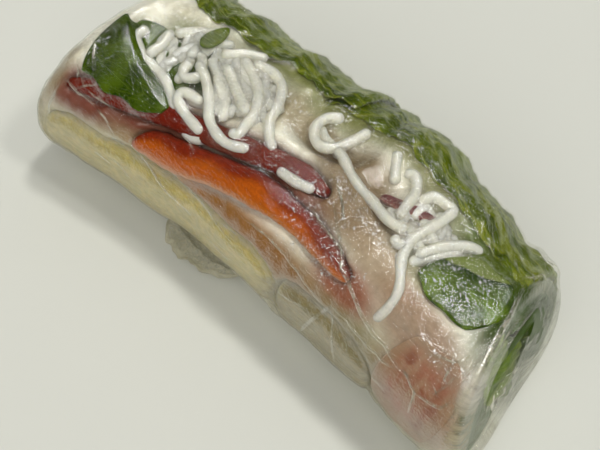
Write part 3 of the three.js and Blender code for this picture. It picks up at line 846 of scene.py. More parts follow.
def stained(along, around):
    """The colour that the juices have given to what lies at each place."""
    colour = np.tile(NOODLE_WHITE, (*along.shape, 1))
    for at_along, at_around, far, wide, tint, strength in STAINS:
        gone = (around - at_around + 180) % 360 - 180
        distance = np.hypot((along - at_along) / far, gone / wide)
        share = strength * (1 - ease((distance - 0.45) / 0.75))[..., None]
        colour = mix(colour, np.array(tint), share)
    return colour


# Painted shade: the core's end inside the pocket is painted the dark green of a leaf in shade.
end_painted_shade = np.tile(SHADED_LEAF, (len(END_SHARES), CORE_COLUMNS, 1))
stain = np.concatenate([stained(core_along, core_around), end_painted_shade]).reshape(-1, 4)


SPECKLE = 900.0  # specks a metre


def noodle_finish(name, colour_from, softness, mottled, clear=0.0):
    """Wet boiled noodle: white, a little glassy, with light that sinks in."""
    finish = Finish(name)
    mottle = finish.noise(finish.place(), SPECKLE)
    shade = mottled * mottle.eased(0.3, 0.75)
    colour = finish.blend(shade, colour_from(finish), (0.34, 0.3, 0.2, 1), "MULTIPLY")
    normal = finish.bump(mottle, 0.0002, 0.5)
    shader = finish.matter(colour, normal, 0.32, 0.12, softness, (1.0, 0.85, 0.6), 0.0025)
    if clear:
        shader = finish.between(clear, shader, finish.clear((0.98, 0.98, 0.96, 1)))
    return finish.shown(shader)


core_finish = noodle_finish(
    "packed_noodles", lambda finish: finish.stored("stain", "Color"), softness=0.2, mottled=0.22
)
core = new_piece("noodles_packed", core_points, core_faces, [core_finish], "noodle", "noodles")
give_values(core, "stain", stain)

# ---------------------------------------------------------------- loose noodles
# Single strands of vermicelli, about two millimetres thick, curl on top of the packed ones and
# press against the paper. The top ones follow their own bends; a tangle of others lies just
# beneath them.

NOODLE = 1.05  # half its thickness
TOP = NOODLE + 0.35  # depth of the middle of a strand on top, and of one under it
LOWER = TOP + 0.9
TANGLE_LAYER = 1.0  # how much deeper the strands of a tangle may lie
STRIDE = 2  # of a wandering strand, in mm
STRANDS = [
    (LOWER, [(-41, 84), (-41, 75), (-38, 70), (-34.5, 66), (-31, 64), (-29, 63), (-26.5, 60),
             (-24, 55), (-22, 50), (-20, 48)]),
    (TOP, [(-35, 90), (-33.6, 79), (-33.8, 72), (-33, 68)]),
    (TOP, [(-18.3, 63), (-21, 63), (-22.6, 62), (-22.8, 58), (-21.7, 55), (-19, 52), (-15.4, 50),
           (-13.7, 49)]),
    (LOWER, [(-18.9, 51), (-18, 45), (-15.9, 43), (-13.9, 45), (-11.9, 50), (-10.6, 52)]),
    (TOP, [(-25.4, 83), (-21.3, 76), (-18.1, 68), (-14.7, 58), (-11.3, 54), (-8.5, 53), (-6, 55),
           (-4, 58)]),
    (TOP, [(-22.4, 76), (-23.8, 71), (-24.8, 70), (-26.2, 74), (-26, 80)]),
    (LOWER, [(-21.1, 84), (-17.3, 76), (-14.3, 68), (-12.7, 61)]),
    (TOP, [(-20.7, 92), (-15.8, 83), (-11.4, 76), (-9.3, 73)]),
    (TOP, [(-19.9, 103), (-15.5, 97), (-11.8, 89), (-8.6, 76), (-7.9, 67), (-7.7, 60), (-9.5, 60)]),
    (TOP, [(-17.7, 105), (-14, 107), (-10.1, 103), (-7, 91), (-5.2, 78), (-2.7, 70), (-0.5, 66)]),
    (TOP, [(-24, 98), (-22.5, 101), (-20.4, 108), (-17.5, 116)]),
    (LOWER, [(-34.7, 92), (-31.9, 105), (-29.1, 114)]),
    (TOP, [(9.2, 114), (8.3, 102), (7.3, 92), (5.4, 87), (3.3, 88), (1.3, 95), (1.3, 104),
           (3.6, 111)]),
    (TOP, [(7.6, 92), (9.8, 90), (13.4, 85), (16.9, 82), (20.2, 81), (23.5, 79), (26.6, 79),
           (29.2, 82)]),
    (TOP, [(16.3, 113), (18.5, 106), (20.6, 99)]),
    (TOP, [(20.3, 107), (22.1, 110), (24.5, 104), (25.6, 92), (26.3, 84)]),
    (TOP, [(26.6, 101), (27.2, 110), (29.7, 112), (31.6, 112), (31.5, 97), (30.9, 82), (31.5, 73),
           (32.4, 67), (35.5, 56), (36.2, 46), (35.6, 36)]),
    (LOWER, [(28, 56), (29.8, 62), (31.8, 69)]),
    (TOP, [(33.4, 76), (35.4, 94), (38.1, 108), (40.1, 114)]),
    (LOWER, [(33.0, 70), (35.4, 85), (37.9, 103)]),
    (TOP, [(28.1, 74), (30, 73), (30.9, 78)]),
    (TOP, [(3.1, 59), (7.3, 60), (11.1, 63)]),
]


def noodle_body(route, radius, step=0.6, sides=10):
    """A round strand with rounded ends along rows of along, around and depth."""
    fine = smooth_line(route, 24 * len(route))
    points = on_roll(*fine.T)
    gone = np.append(0, np.cumsum(np.linalg.norm(np.diff(points, axis=0), axis=1)))
    ends = radius * np.array([0.02, 0.15, 0.4, 0.75])
    inner = np.linspace(radius, gone[-1] - radius, max(3, round(gone[-1] / step)))
    marks = np.concatenate([ends, inner, gone[-1] - ends[::-1]])
    line = np.stack([np.interp(marks, gone, fine[:, k]) for k in range(3)], -1)
    middle = on_roll(*line.T)
    up = on_roll(line[:, 0], line[:, 1], line[:, 2] - 0.5) - middle
    forward = np.gradient(middle, axis=0)
    across = np.cross(forward, up)
    across /= np.linalg.norm(across, axis=1, keepdims=True)
    up = np.cross(across, forward)
    up /= np.linalg.norm(up, axis=1, keepdims=True)
    from_end = np.minimum(marks, gone[-1] - marks)
    wide = radius * np.sqrt(1 - (1 - np.clip(from_end / radius, 0, 1)) ** 2)
    wide = wide * (1 + 0.05 * np.sin(1.3 * marks + 7 * route[0][0]))
    turn = np.linspace(0, 2 * np.pi, sides, endpoint=False)
    ring = np.cos(turn)[:, None, None] * across + np.sin(turn)[:, None, None] * up
    return loft((middle + wide[:, None] * ring).transpose(1, 0, 2))


rng = np.random.default_rng(11)


def stray_noodle(along, around, depth, heading, length, within):
    """A strand that wanders from a start, turning slowly, until it would leave its tangle."""
    route, turning = [], rng.uniform(-0.15, 0.15)
    for _ in range(int(length / STRIDE)):
        route.append((along, around, depth))
        turning = np.clip(turning + rng.normal(0, 0.09), -0.35, 0.35)
        heading += turning
        along += STRIDE * math.cos(heading)
        around += STRIDE * math.sin(heading) / MM_PER_DEGREE
        depth = np.clip(depth + rng.normal(0, 0.1), LOWER, LOWER + TANGLE_LAYER)
        if math.hypot((along - within[0]) / within[2], (around - within[1]) / within[3]) > 1.05:
            break
    return route


bodies = [
    noodle_body([(along, around, depth) for along, around in route], NOODLE)
    for depth, route in STRANDS
]
tangle = []
for within in TANGLES:
    along, around, far, wide, count = within
    for _ in range(count):
        turn, out = rng.uniform(0, 2 * math.pi), math.sqrt(rng.uniform(0, 1))
        start = (along + far * out * math.cos(turn), around + wide * out * math.sin(turn))
        heading = rng.normal(-1.25, 0.45) + math.pi * rng.integers(2)
        depth, length = LOWER + rng.uniform(0.0, TANGLE_LAYER), rng.uniform(12, 28)
        route = stray_noodle(*start, depth, heading, length, within)
        from_hole = np.hypot(*((np.array(route)[:, :2] - HOLE) * [1, MM_PER_DEGREE]).T)
        if len(route) > 2 and from_hole.min() > HOLE_REACH:
            tangle.append(noodle_body(route, NOODLE, step=0.9, sides=8))
strand_finish = [
    noodle_finish("noodle", lambda finish: NOODLE_WHITE, softness=0.6, mottled=0.06, clear=0.2)
]
top_noodles = new_piece("noodles_top", *joined(bodies), strand_finish, "noodle", "noodles")
tangle_noodles = new_piece("noodles_tangle", *joined(tangle), strand_finish, "noodle", "noodles")

# ---------------------------------------------------------------- rice paper
# One round sheet of rice paper, wetted until it is limp and glassy, is drawn tight over the
# fillings and rolled up. It clings to what it touches and is clear there; where it bridges a
# gap, lies double or is creased it turns milky. Its far end is folded shut and its near end is
# tucked in round the open pocket.

PAPER_MILK = srgb(176, 167, 124)
TOP_MILK = srgb(208, 205, 188)
FOLD_MILK = srgb(222, 217, 194)
LEAF_BEHIND = srgb(60, 84, 20)  # of the paper where a leaf lies close behind the end
# Painted highlight: the white of the flecks painted on the paper as glints.
PAINTED_GLINT_WHITE = srgb(252, 252, 246)
PAPER = 0.22  # its thickness
CLEARANCE = 0.1  # between it and the fillings
DEEPEST = 1.7  # how far it may sink between them
CLING = 0.018  # how far the wet paper creeps into a hollow at each pass
PASSES = 40
END_DEPTH = 0.15  # how deep the paper lies at the near end, where nothing is behind it
FILM_COLUMNS = 256
CAP_TURNS = range(6, 90, 6)
BODY_ROWS = 270
EDGE_TURNS = [18, 32, 46, 60, 72, 82, 90]
WALL_ROWS = 22
TUCK_ROWS = 5
INNER_STEP = 5  # how many rows of the outer face there are to one of the inner face
WALL_REACH = 11  # from the rim to the pocket mouth
MOUTH_GATHER = 0.55  # how far the paper is drawn together there
TUCK_HAZE = 0.12
FAR_FOLDS = 5
RAY_LEAD = 1.5  # how far outside the paper the search for the fillings starts
HIGHEST = 0.8  # how far a filling may push the paper out
RIM_ROWS = 9  # rows next to the near end's rim that are smoothed along it
RIM_REACH = 3  # by as many columns to each side
# Where the paper is finely crinkled and glints, and where white flecks are painted on it as
# glints: along, around, how far it reaches both ways
CRINKLES_AND_GLINT_FLECKS = [
    (-35, 100, 8, 14), (-2, 63, 8, 12), (7, 108, 6, 9), (27, 76, 9, 18), (30, 120, 7, 9),
    (39, 74, 4, 16), (43, 92, 7, 14), (50, 54, 4, 20), (-12, 80, 8, 16), (14, 64, 12, 20),
    (-44, 52, 6, 18), (20, 44, 12, 16), (-8, 100, 12, 7), (8, 112, 12, 8), (20, 118, 12, 7),
]
# along, around, how far it reaches in mm, how high it stands in mm
BULGES = [
    (-49.5, 49, 2.4, 1.2), (KNOB_ALONG, KNOB_AROUND, KNOB_REACH, 0.7), (50, 132, 1.6, 0.6),
    (-46, 102, 3, 0.5),
]

film_around = np.linspace(-90, 270, FILM_COLUMNS, endpoint=False)
film_turn = np.radians(film_around)
film_rows = []
row_places = []  # along and round the paper, in mm, for its grain
row_clings = []  # how far each row is drawn down on the fillings, 0 to 1


def add_row(points, across, down, cling):
    film_rows.append(points)
    row_places.append(np.stack(np.broadcast_arrays(across, down, 0.0 * film_around), -1))
    row_clings.append(np.broadcast_to(cling, film_around.shape))


film_arc = MM_PER_DEGREE * film_around
for turn in np.radians(CAP_TURNS):
    cap_along = FAR_END + FAR_CAP * (1 - math.cos(turn))
    fold = 0.7 * math.sin(2 * turn) * np.sin(FAR_FOLDS * film_turn + 2 * turn)
    fine_fold = 0.35 * math.sin(2 * turn) * np.sin(17 * film_turn + 5 * turn)
    shift = np.stack([fold + fine_fold, 0 * fold, 0 * fold], -1)
    add_row(on_roll(cap_along, film_around, 0.0) + shift, cap_along, film_arc, 1)
body_stop = near_end(film_around) - NEAR_EDGE
for share in np.linspace(0, 1, BODY_ROWS):
    body_along = mix(FAR_END + FAR_CAP, body_stop, share)
    add_row(on_roll(body_along, film_around, 0.0), body_along, film_arc, 1)
for turn in np.radians(EDGE_TURNS):
    edge_along = body_stop + NEAR_EDGE * math.sin(turn)
    add_row(on_roll(edge_along, film_around, 0.0), edge_along, film_arc, math.cos(turn) ** 2)
rim = on_roll(near_end(film_around), film_around, 0.0)
mouth = mouth_point(film_around)
lip = ease((np.cos(film_turn - math.radians(75)) - 0.1) / 0.5)
for share in np.linspace(0, 1, WALL_ROWS + 1)[1:]:
    middle = math.sin(math.pi * share)
    pleats = 0.34 * np.sin(2 * math.pi * (2.1 * share + 0.2 * np.sin(3 * film_turn + 1)))
    pleats += 0.2 * np.sin(2 * math.pi * (4.7 * share - 0.25 * np.sin(2 * film_turn)) + 1)
    pleats += 0.14 * np.sin(11 * film_turn + 5 * share)
    edge = 0.5 * math.exp(-(((share - 0.96) / 0.1) ** 2))
    out = middle * (0.9 * lip + (1 - 0.7 * lip) * (0.5 * pleats + 0.15)) + edge
    shift = np.stack([out, 0 * out, 0 * out], -1)
    wall_along = near_end(film_around) + WALL_REACH * share
    wall_arc = film_arc * mix(1, MOUTH_GATHER, share)
    add_row(mix(rim, mouth, share) + shift, wall_along, wall_arc, 0)
for share in np.linspace(0, 1, TUCK_ROWS + 1)[1:]:
    tucked = mouth_point(film_around, 1 - 0.08 * math.sin(math.pi * share))
    tuck_along = near_end(film_around) + WALL_REACH + 2 * share
    add_row(tucked + [0.5 - 1.6 * share, 0, 0], tuck_along, MOUTH_GATHER * film_arc, 0)
plain_film = np.array(film_rows)
film_places = np.array(row_places)
cling_share = np.array(row_clings, float)
wall_start = len(CAP_TURNS) + BODY_ROWS + len(EDGE_TURNS)
film_along = np.minimum(film_places[..., 0], near_end(film_around))
film_along[wall_start:] = near_end(film_around)
around_grid = np.broadcast_to(film_around, film_along.shape)

down_rows = np.gradient(plain_film, axis=0)
round_columns = np.roll(plain_film, -1, 1) - np.roll(plain_film, 1, 1)
film_out = np.cross(round_columns, down_rows)
film_out /= np.linalg.norm(film_out, axis=-1, keepdims=True) + 1e-9
middle_line = plain_film.mean(axis=1, keepdims=True)
turned_in = ((plain_film - middle_line) * film_out).sum(-1).mean() < 0
film_out = -film_out if turned_in else film_out

everything = filling_tree([*fillings, core, top_noodles, tangle_noodles])
above_film = plain_film[:wall_start] + RAY_LEAD * film_out[:wall_start]
reach = DEEPEST + RAY_LEAD
met = found_depth(everything, above_film, -film_out[:wall_start], reach, reach)
to_filling = np.full(film_along.shape, END_DEPTH + PAPER + CLEARANCE)
to_filling[:wall_start] = np.clip(met - RAY_LEAD, -HIGHEST, DEEPEST)
room_below = to_filling - PAPER - CLEARANCE
# Drawn tight round the rim, the paper keeps to the highest filling near each place.
near_rim = room_below[wall_start - RIM_ROWS : wall_start]
for gathered in (np.minimum.reduce, np.mean):
    beside = [np.roll(near_rim, step, 1) for step in range(-RIM_REACH, RIM_REACH + 1)]
    near_rim[:] = gathered(np.array(beside), axis=0)
film_depth = room_below.copy()
for _ in range(PASSES):
    film_depth = np.minimum(room_below, blurred(film_depth) + CLING)
gap = np.clip(to_filling - film_depth - PAPER, 0, 2) * cling_share
film_depth = mix(END_DEPTH, film_depth, cling_share)
for along, around, reach, height in BULGES:
    off = np.hypot(film_along - along, MM_PER_DEGREE * (around_grid - around)) / reach
    film_depth = film_depth - height * np.exp(-(off**2)) * (cling_share > 0)
outer = plain_film - film_depth[..., None] * film_out
outer[..., 2] = np.maximum(outer[..., 2], 0)

# The inner face has fewer rows, but meets the outer one all round the tucked-in edge.
inner_rows = [*range(0, len(outer) - 1, INNER_STEP), len(outer) - 1]
inner = outer[inner_rows] - PAPER * film_out[inner_rows]
inner[..., 2] = np.maximum(inner[..., 2], PAPER)
inner = inner[::-1]
film_faces = grid_faces(len(outer), FILM_COLUMNS, closed=True)
outer_count = len(film_faces) + 1
film_faces.append(list(range(FILM_COLUMNS))[::-1])
first_inner = outer.shape[0] * FILM_COLUMNS
edge_start = first_inner - FILM_COLUMNS
film_faces += grid_faces(len(inner) + 1, FILM_COLUMNS, closed=True, start=edge_start)
last_row = first_inner + (len(inner) - 1) * FILM_COLUMNS
film_faces.append([last_row + k for k in range(FILM_COLUMNS)])


def near(along, around, at_along, at_around, far, wide):
    """1 at a place on the roll, falling smoothly to 0 at its edge."""
    return 1 - ease((np.hypot((along - at_along) / far, (around - at_around) / wide) - 0.4) / 0.8)


# Where the paper is milky besides its ends and its lap: along, around, how far it reaches both
# ways, how milky
HAZY = [
    (45, 48, 12, 18, 0.12), (26, 2, 18, 34, 0.22), (50, 146, 6, 24, 0.1),
    (-20, 86, 16, 26, 0.16), (20, 88, 20, 22, 0.14), (14, -3, 4, 18, 0.35),
]


def haziness(along, around):
    """How milky the paper is of itself: more where it laps over itself or is bunched up."""
    turn = (around + 90) % 360 - 90
    to_rim = near_end(around) - along
    lip_share = ease((np.cos(np.radians(turn - 25)) - 0.35) / 0.4)
    deep = 1.1 - 0.9 * ease((turn - 45) / 30)
    lap = 0.16 * ease((30 - turn) / 26) + 0.1 * ease((-10 - turn) / 20)
    far_folds = 0.42 * ease((-46 - along) / 7) * ease((100 - turn) / 30)
    near_front = 0.12 * ease((along - 14) / 10) * ease((58 - turn) / 14)
    lip = 0.75 * (1 - ease((to_rim - deep) / 2.2)) * lip_share
    haze = lap + far_folds + near_front + lip + 0.1 * ease((turn - 200) / 25)
    for at_along, at_around, far, wide, milky in HAZY:
        haze = haze + milky * near(along, turn, at_along, at_around, far, wide)
    return np.clip(haze, 0, 0.95)


haze = haziness(film_along, around_grid)
front_share = ease((138 - (around_grid + 90) % 360) / 26)
milk_tint = mixed(front_share.ravel(), TOP_MILK, PAPER_MILK).reshape(*haze.shape, 4)
# The near end's wall is white in its streaks and at the mouth, and green over the lettuce.
over_leaf = ease((film_around - 108) / 30) * ease((266 - film_around) / 22)
for row in range(WALL_ROWS):
    share = (row + 1) / WALL_ROWS
    crisp = 0.35 * math.exp(-(((share - 0.95) / 0.06) ** 2))
    wide = 0.16 - 0.12 * ease((film_around - 45) / 35)
    band = 0.85 * (1 - ease((share - wide) / 0.16)) * ease((np.cos(film_turn - 0.5) + 0.1) / 0.7)
    streaks = 0.5 + 0.5 * np.sin(23 * share + 2.5 * np.sin(2 * film_turn) + np.sin(5 * film_turn))
    white = np.clip(crisp + 0.4 * streaks**8, 0, 1)
    green = 0.75 * over_leaf * (1 - ease((share - 0.8) / 0.2))
    wall_row = wall_start + row
    haze[wall_row] = np.maximum(band + white, green)
    milk_tint[wall_row] = mixed(over_leaf * (1 - white), milk_tint[wall_row], LEAF_BEHIND)
haze[wall_start + WALL_ROWS :] = TUCK_HAZE
for row in range(wall_start - len(EDGE_TURNS), wall_start):
    share = (row - wall_start + len(EDGE_TURNS) + 1) / len(EDGE_TURNS)
    haze[row] = np.maximum(haze[row], 0.7 * over_leaf * share)
    milk_tint[row] = mixed(over_leaf * share, milk_tint[row], LEAF_BEHIND)

crinkle_and_glint = np.zeros(haze.shape)
for along, around, far, wide in CRINKLES_AND_GLINT_FLECKS:
    here = near(film_along, (around_grid + 90) % 360 - 90, along, around, far, wide)
    crinkle_and_glint = np.maximum(crinkle_and_glint, here)


def lit_paper(finish, milk, normal, roughness, colour, sparkle=0.0):
    """Paper as milky as told at each place, under a wet gloss that is stronger on its flecks."""
    paper = finish.matter(colour, normal, roughness=0.6, gloss=0.0)
    through = finish.node("ShaderNodeBsdfTranslucent", {}, {"Color": colour, "Normal": normal})
    clear = finish.clear((0.99, 0.99, 0.97, 1))
    gloss = finish.node("ShaderNodeBsdfGlossy", {}, {
        "Color": (1, 1, 1, 1), "Roughness": roughness, "Normal": normal,
    })
    mirrored = finish.node("ShaderNodeFresnel", {}, {"IOR": 1.4, "Normal": normal})
    glint = mirrored * 0.22 + 0.025 + sparkle
    body = finish.between(milk, clear, finish.between(0.35, paper, through))
    return finish.shown(finish.between(glint, body, gloss))


def paper_finish():
    """Wet rice paper: clear where it clings, milky where it doesn't, with fine fibres along the
    roll, thin pressed lines, a leathery grain drawn out across it, and patches of fine crinkle
    that glint, where painted white flecks stand in for more glints."""
    finish = Finish("rice_paper")
    place = finish.stored("roll_mm", "Vector")
    loose = finish.stored("gap")
    haze = finish.stored("haze")
    cloud = finish.noise(place, (0.1, 0.3, 0.0), 4.0, 0.6).eased(0.32, 0.7)
    fibres = finish.noise(place, (0.3, 1.9, 0.0), 4.0, 0.65, 1.1)
    wander = finish.noise(place, (0.12, 0.4, 0.0), 2.0, 0.5, 1.4)
    grain = finish.noise(place, (2.2, 1.1, 0.0), 2.0, 0.55, 0.7)
    crinkle = finish.noise(place, (2.1, 1.7, 0.0), 1.0, 0.6, 0.6)
    facets = crinkle.eased(0.3, 0.7)
    wisps = finish.noise(place, (0.5, 0.9, 0.0), 5.0, 0.7, 0.9)
    patches = finish.noise(place, (0.25, 0.35, 0.0)).eased(0.42, 0.62)
    crumpled = finish.stored("crinkle_and_glint") * patches
    crinkle_and_glint = 0.2 + 0.2 * finish.stored("crinkle_and_glint") + 0.7 * crumpled
    pressed = 1 - wander.away_from(0.5).eased(0.0, 0.014)
    thin = haze * (1 - haze)
    milk = haze * (0.3 + 0.8 * cloud) + 0.3 * loose.eased(0.3, 1.3)
    milk = milk + pressed * (0.005 + 0.25 * haze) + fibres.eased(0.5, 0.7) * (0.005 + 0.8 * thin)
    milk = milk + wisps.eased(0.52, 0.74) * (0.005 + 0.6 * thin)
    # A faint painted glint: milk speckled over the crinkle.
    milk = milk + 0.04 * crinkle_and_glint * crinkle.eased(0.55, 0.7)
    # Painted highlights: white flecks of milk and colour in the crinkled patches stand in for
    # glints; the same flecks also get a rougher, stronger real gloss.
    specks = finish.noise(place, (1.7, 1.3, 0.0), 4.0, 0.72, 0.8)
    flecks = specks.eased(0.58, 0.62) * crumpled.eased(0.1, 0.6)
    flecks = flecks + specks.eased(0.67, 0.71) * finish.stored("crinkle_and_glint")
    milk = (milk + 0.9 * flecks).clipped() * 0.94
    height = 0.05 * grain + 0.36 * crinkle_and_glint * facets + 0.06 * fibres + 0.05 * pressed
    normal = finish.bump(height, 0.0008, 0.8)
    juicy = 0.35 + 0.6 * loose.eased(0.2, 0.8)
    tint = finish.blend(juicy, finish.stored("milk_tint", "Color"), finish.stored("stain", "Color"))
    tint = finish.blend(flecks, tint, PAINTED_GLINT_WHITE)
    roughness = 0.08 + 0.44 * flecks.clipped()
    return lit_paper(finish, milk, normal, roughness, tint, sparkle=0.6 * flecks)


# The inner face of the paper shows nothing of its own.
lining = Finish("rice_paper_lining")
film = new_piece(
    "rice_paper_film", np.vstack([outer.reshape(-1, 3), inner.reshape(-1, 3)]), film_faces,
    [paper_finish(), lining.shown(lining.clear((1, 1, 0.99, 1)))], "rice_paper", "rice_paper",
)
inside_faces = np.arange(len(film.data.polygons)) >= outer_count
film.data.polygons.foreach_set("material_index", inside_faces.astype(np.int32))
for name, values in {
    "roll_mm": film_places, "gap": gap, "haze": haze, "crinkle_and_glint": crinkle_and_glint,
    "milk_tint": milk_tint, "stain": stained(film_along, around_grid),
}.items():
    both = np.concatenate([values, values[inner_rows][::-1]])
    give_values(film, name, both.reshape(-1, *values.shape[2:]))

# ---------------------------------------------------------------- folds in the paper
# Where the wet sheet was gathered it stands in thin pinched folds, stuck to itself. They are
# double paper, so they show as fine pale lines, most of them along the lap at the front and at
# both ends.

# half width and height in mm, then the along and around of its bends
FOLDS = [
    (0.55, 0.35, [(15, 66), (18, 60), (21.6, 53), (23.8, 48), (25.8, 43), (29.9, 38), (33.5, 34),
                  (36.9, 32), (39.9, 31.5), (42.4, 30), (44.4, 29), (47.3, 30)]),
    (0.4, 0.22, [(27.2, 25), (31, 26), (35.5, 25), (40.4, 25), (44, 28)]),
    (0.4, 0.2, [(27.2, 25), (25.4, 14), (23.3, 1), (20.7, -18)]),
    (0.4, 0.2, [(27.2, 24), (30, 9), (31.3, -6)]),
    (0.3, 0.15, [(12.5, 76), (15.5, 71), (17.8, 66), (20, 58)]),
    (0.3, 0.15, [(14, 73), (17.3, 67), (20.5, 60)]),
    (0.35, 0.2, [(12.1, 56), (16.8, 52), (20.7, 51), (23.1, 49)]),
    (0.4, 0.3, [(-47.7, 35), (-44.4, 33), (-41.7, 31), (-39.6, 31), (-35.4, 29)]),
    (0.35, 0.25, [(-42.7, 33), (-41.2, 36), (-38.3, 40), (-38.4, 43)]),
    (0.3, 0.2, [(-43.5, 40), (-42.3, 38), (-41, 36)]),
    (0.35, 0.25, [(-47.2, 47), (-45.2, 42), (-43.7, 36)]),
    (0.55, 0.45, [(-49.1, 62), (-46.4, 58), (-43.9, 53), (-40, 45)]),
    (0.3, 0.2, [(-39.4, 35), (-35.7, 34), (-31.3, 34)]),
    (0.35, 0.2, [(-47.6, 15), (-47.2, 22), (-47, 27)]),
    (0.35, 0.2, [(-47.1, 34), (-47.6, 22), (-47.4, 10)]),
    (0.3, 0.18, [(51, 53), (51.3, 45), (52, 38)]),
    (0.45, 0.3, [(48.3, 25), (51.3, 27), (53.8, 30), (54.7, 36)]),
    (0.3, 0.2, [(46.6, 45), (48.9, 49), (51.2, 53), (52, 61)]),
    (0.3, 0.2, [(51.5, 32), (52.5, 41), (52.7, 48)]),
    (0.4, 0.25, [(44.5, 31), (47.1, 27), (48.6, 24), (49, 12)]),
    (0.6, 0.3, [(50, 116), (51, 107), (52, 98), (53.2, 80), (54.8, 60), (55.8, 45), (56.4, 30)]),
    (0.35, 0.25, [(48, 122), (49.2, 125), (50, 132), (50.6, 140)]),
    (0.35, 0.25, [(46.3, 144), (48.8, 147), (50, 160)]),
    (0.4, 0.2, [(-25.6, 24), (-20.4, 17), (-14.6, 11), (-8, 7)]),
    (0.35, 0.18, [(-13, 21), (-8, 19), (-3, 16), (4, 13)]),
    (0.35, 0.18, [(3, 30), (10, 30), (18, 27), (25, 22)]),
]
SMALL_FOLDS = 16
ABOVE = 3.0  # how far outside the roll the search for the film starts
FOLD_COLUMNS = 7
FOLD_ROOT = 0.1  # how far a fold reaches into the film


def fold_body(tree, width, height, route):
    """A thin fold of paper that lies on the film along a route of along and around."""
    line = smooth_line(route, 8 * len(route)) * [1, MM_PER_DEGREE]
    forward = np.gradient(line, axis=0)
    sideways = np.stack([-forward[:, 1], forward[:, 0]], -1)
    sideways /= np.linalg.norm(sideways, axis=1, keepdims=True)
    taper = np.sin(np.pi * np.linspace(0.01, 0.99, len(line))) ** 0.6
    across = np.linspace(-1, 1, FOLD_COLUMNS)
    reach = width * (0.4 + 0.6 * taper)
    place = line[:, None] + across[:, None] * (sideways * reach[:, None])[:, None]
    along, around = place[..., 0], place[..., 1] / MM_PER_DEGREE
    high, low = on_roll(along, around, -ABOVE), on_roll(along, around, ABOVE)
    inwards = (low - high) / np.linalg.norm(low - high, axis=-1, keepdims=True)
    met = found_depth(tree, high, inwards, 2 * ABOVE, ABOVE)
    crest = 1 - across**2
    rise = 0.5 * height * taper[:, None] * crest - 0.03
    top = high + inwards * (met - rise)[..., None]
    under = (high + inwards * (met + FOLD_ROOT)[..., None])[:, FOLD_COLUMNS // 2, None]
    body_points, body_faces = loft(np.concatenate([top, under], axis=1))
    pale = np.concatenate([taper[:, None] * crest, 0 * taper[:, None]], axis=1).ravel()
    return body_points, body_faces, pale


def small_fold():
    """A short crinkle at a random place on the lap at the front."""
    along, around = rng.uniform(-44, 52), rng.uniform(-24, 46)
    heading, length = rng.normal(0, 0.22), rng.uniform(3, 9)
    bend = rng.uniform(-0.5, 0.5)
    route = []
    for share in (0, 0.35, 0.7, 1):
        turned = heading + bend * share
        forward, sideways = length * share * math.cos(turned), length * share * math.sin(turned)
        route.append((along + forward, around + sideways / MM_PER_DEGREE))
    return rng.uniform(0.18, 0.34), rng.uniform(0.05, 0.16), route


def fold_finish():
    """Double paper, palest along the crest of the fold."""
    finish = Finish("paper_fold")
    pale = finish.stored("pale")
    fleck = finish.noise(finish.place(), SPECKLE)
    milk = pale.eased(0.1, 1.0) * (0.08 + 0.45 * fleck.eased(0.3, 0.7))
    return lit_paper(finish, milk, finish.bump(fleck, 0.0002, 0.6), 0.12, FOLD_MILK)


film_tree = filling_tree([film])
FOLDS += [small_fold() for _ in range(SMALL_FOLDS)]
folds = [fold_body(film_tree, *fold) for fold in FOLDS]
paper_folds = new_piece(
    "rice_paper_folds", *joined([fold[:2] for fold in folds]), [fold_finish()],
    "rice_paper", "rice_paper",
)
give_values(paper_folds, "pale", np.concatenate([pale for _, _, pale in folds]))

# ---------------------------------------------------------------- loose tongue of paper
# At the front foot a rounded tongue at the edge of the sheet didn't stick. It stands out from
# under the roll, just clear of the table, with one fold along it.

TONGUE_FROM = -21.5
TONGUE_TO = -0.5
TONGUE_ROOT = -12.5
TONGUE_TIP = -20.6


def paper_tongue(u, v, inward):
    along = (TONGUE_FROM + TONGUE_TO) / 2 + (TONGUE_TO - TONGUE_FROM) / 2 * u
    edge_share = np.clip(1 - np.abs(u + 0.12 * (1 - u**2)) ** 2.6, 0, 1) ** 0.7
    edge = TONGUE_ROOT - 1 + (TONGUE_TIP - TONGUE_ROOT + 1) * edge_share
    edge = edge + 0.35 * np.sin(1.1 * along) + 0.2 * np.sin(2.3 * along + 1)
    out = (v + 1) / 2
    side = mix(TONGUE_ROOT, edge, out)
    fold = 0.8 * np.exp(-(((out - 0.55 - 0.1 * u) / 0.07) ** 2))
    height = 1.3 + 1.3 * out + fold + 0.35 * np.sin(0.9 * along + 2 * out) * out
    curl = 0.8 * ease((out - 0.85) / 0.15) * np.sin(0.5 * along)
    return np.stack(np.broadcast_arrays(along, side, height + curl - inward), -1)


def tongue_finish():
    finish = Finish("paper_tongue")
    place = finish.stored("roll_mm", "Vector")
    grain = finish.noise(place, 1.3, 3.0, 0.6, 0.5)
    edge = finish.stored("edge")
    milk = (0.12 + 0.5 * grain + 0.35 * edge.eased(0.8, 1.0)).clipped() * 0.95
    return lit_paper(finish, milk, finish.bump(grain, 0.0006, 0.8), 0.08, FOLD_MILK)


tongue_points, tongue_faces, _, tongue_out = sheet(paper_tongue, 90, 40, PAPER)
tongue = new_piece(
    "rice_paper_tongue", tongue_points, tongue_faces, [tongue_finish()], "rice_paper", "rice_paper"
)
give_values(tongue, "roll_mm", tongue_points)
give_values(tongue, "edge", (tongue_out + 1) / 2)

# ---------------------------------------------------------------- floor and light
# A plain pale table top. Two lamps high at the back throw the soft shadow, a broad one fills
# the front, and two windows overhead glint in whatever is wet.

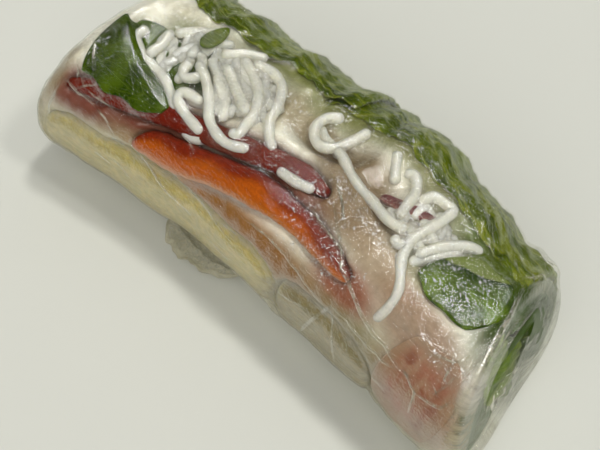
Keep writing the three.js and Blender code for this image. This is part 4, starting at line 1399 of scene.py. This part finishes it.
FLOOR_SIZE = 4
FLOOR_HEIGHT = -0.0002
FLOOR_COLOUR = srgb(214, 215, 207)
floor_finish = Finish("table")
floor_speck = floor_finish.noise(floor_finish.place(), 60.0, 3.0)
floor_colour = floor_finish.blend(floor_speck * 0.06, FLOOR_COLOUR, srgb(198, 199, 191))
floor_normal = floor_finish.bump(floor_speck, 0.0001, 0.2)
floor_matter = floor_finish.matter(floor_colour, floor_normal, roughness=0.7, gloss=0.1)
bpy.ops.mesh.primitive_grid_add(
    x_subdivisions=8, y_subdivisions=8, size=FLOOR_SIZE, location=(0, 0, FLOOR_HEIGHT)
)
table = bpy.context.object
table.name = "table"
table.data.materials.append(floor_finish.shown(floor_matter))


def lamp(name, towards, energy, spread, mirrored=True, lights=True):
    """A far lamp, given by the direction to it and how wide it looks in degrees. One that
    isn't mirrored shows in no gloss, and one that doesn't light shows only in gloss."""
    light = bpy.data.lights.new(name, "SUN")
    light.energy = energy
    light.angle = math.radians(spread)
    light.color = (1.0, 0.99, 0.96)
    placed = bpy.data.objects.new(name, light)
    placed.rotation_euler = Vector(towards).to_track_quat("Z", "Y").to_euler()
    placed.visible_glossy = mirrored
    placed.visible_diffuse = lights
    placed.visible_transmission = lights
    bpy.context.scene.collection.objects.link(placed)


lamp("ceiling_lamp", (0.12, 0.23, 1.0), 0.88, 7)
lamp("side_lamp", (0.6, 0.15, 1.0), 0.55, 7)
lamp("broad_front", (0.3, -0.6, 0.74), 1.18, 60, mirrored=False)
lamp("window", (0.14, 0.2, 1.0), 3.0, 22, lights=False)
lamp("far_window", (-0.2, 0.33, 0.92), 1.2, 12, lights=False)

room = bpy.data.worlds.new("room")
room.use_nodes = True
room_nodes = room.node_tree.nodes
sky = room_nodes.new("ShaderNodeTexCoord")
height = room_nodes.new("ShaderNodeSeparateXYZ")
ramp = room_nodes.new("ShaderNodeMapRange")
room.node_tree.links.new(sky.outputs["Generated"], height.inputs[0])
room.node_tree.links.new(height.outputs["Z"], ramp.inputs["Value"])
ramp.inputs["To Min"].default_value = 0.1
ramp.inputs["To Max"].default_value = 0.4
room_nodes["Background"].inputs["Color"].default_value = (1.0, 1.0, 0.97, 1.0)
room.node_tree.links.new(ramp.outputs[0], room_nodes["Background"].inputs["Strength"])
room.cycles_visibility.glossy = False
bpy.context.scene.world = room
bpy.context.scene.view_settings.view_transform = "Standard"
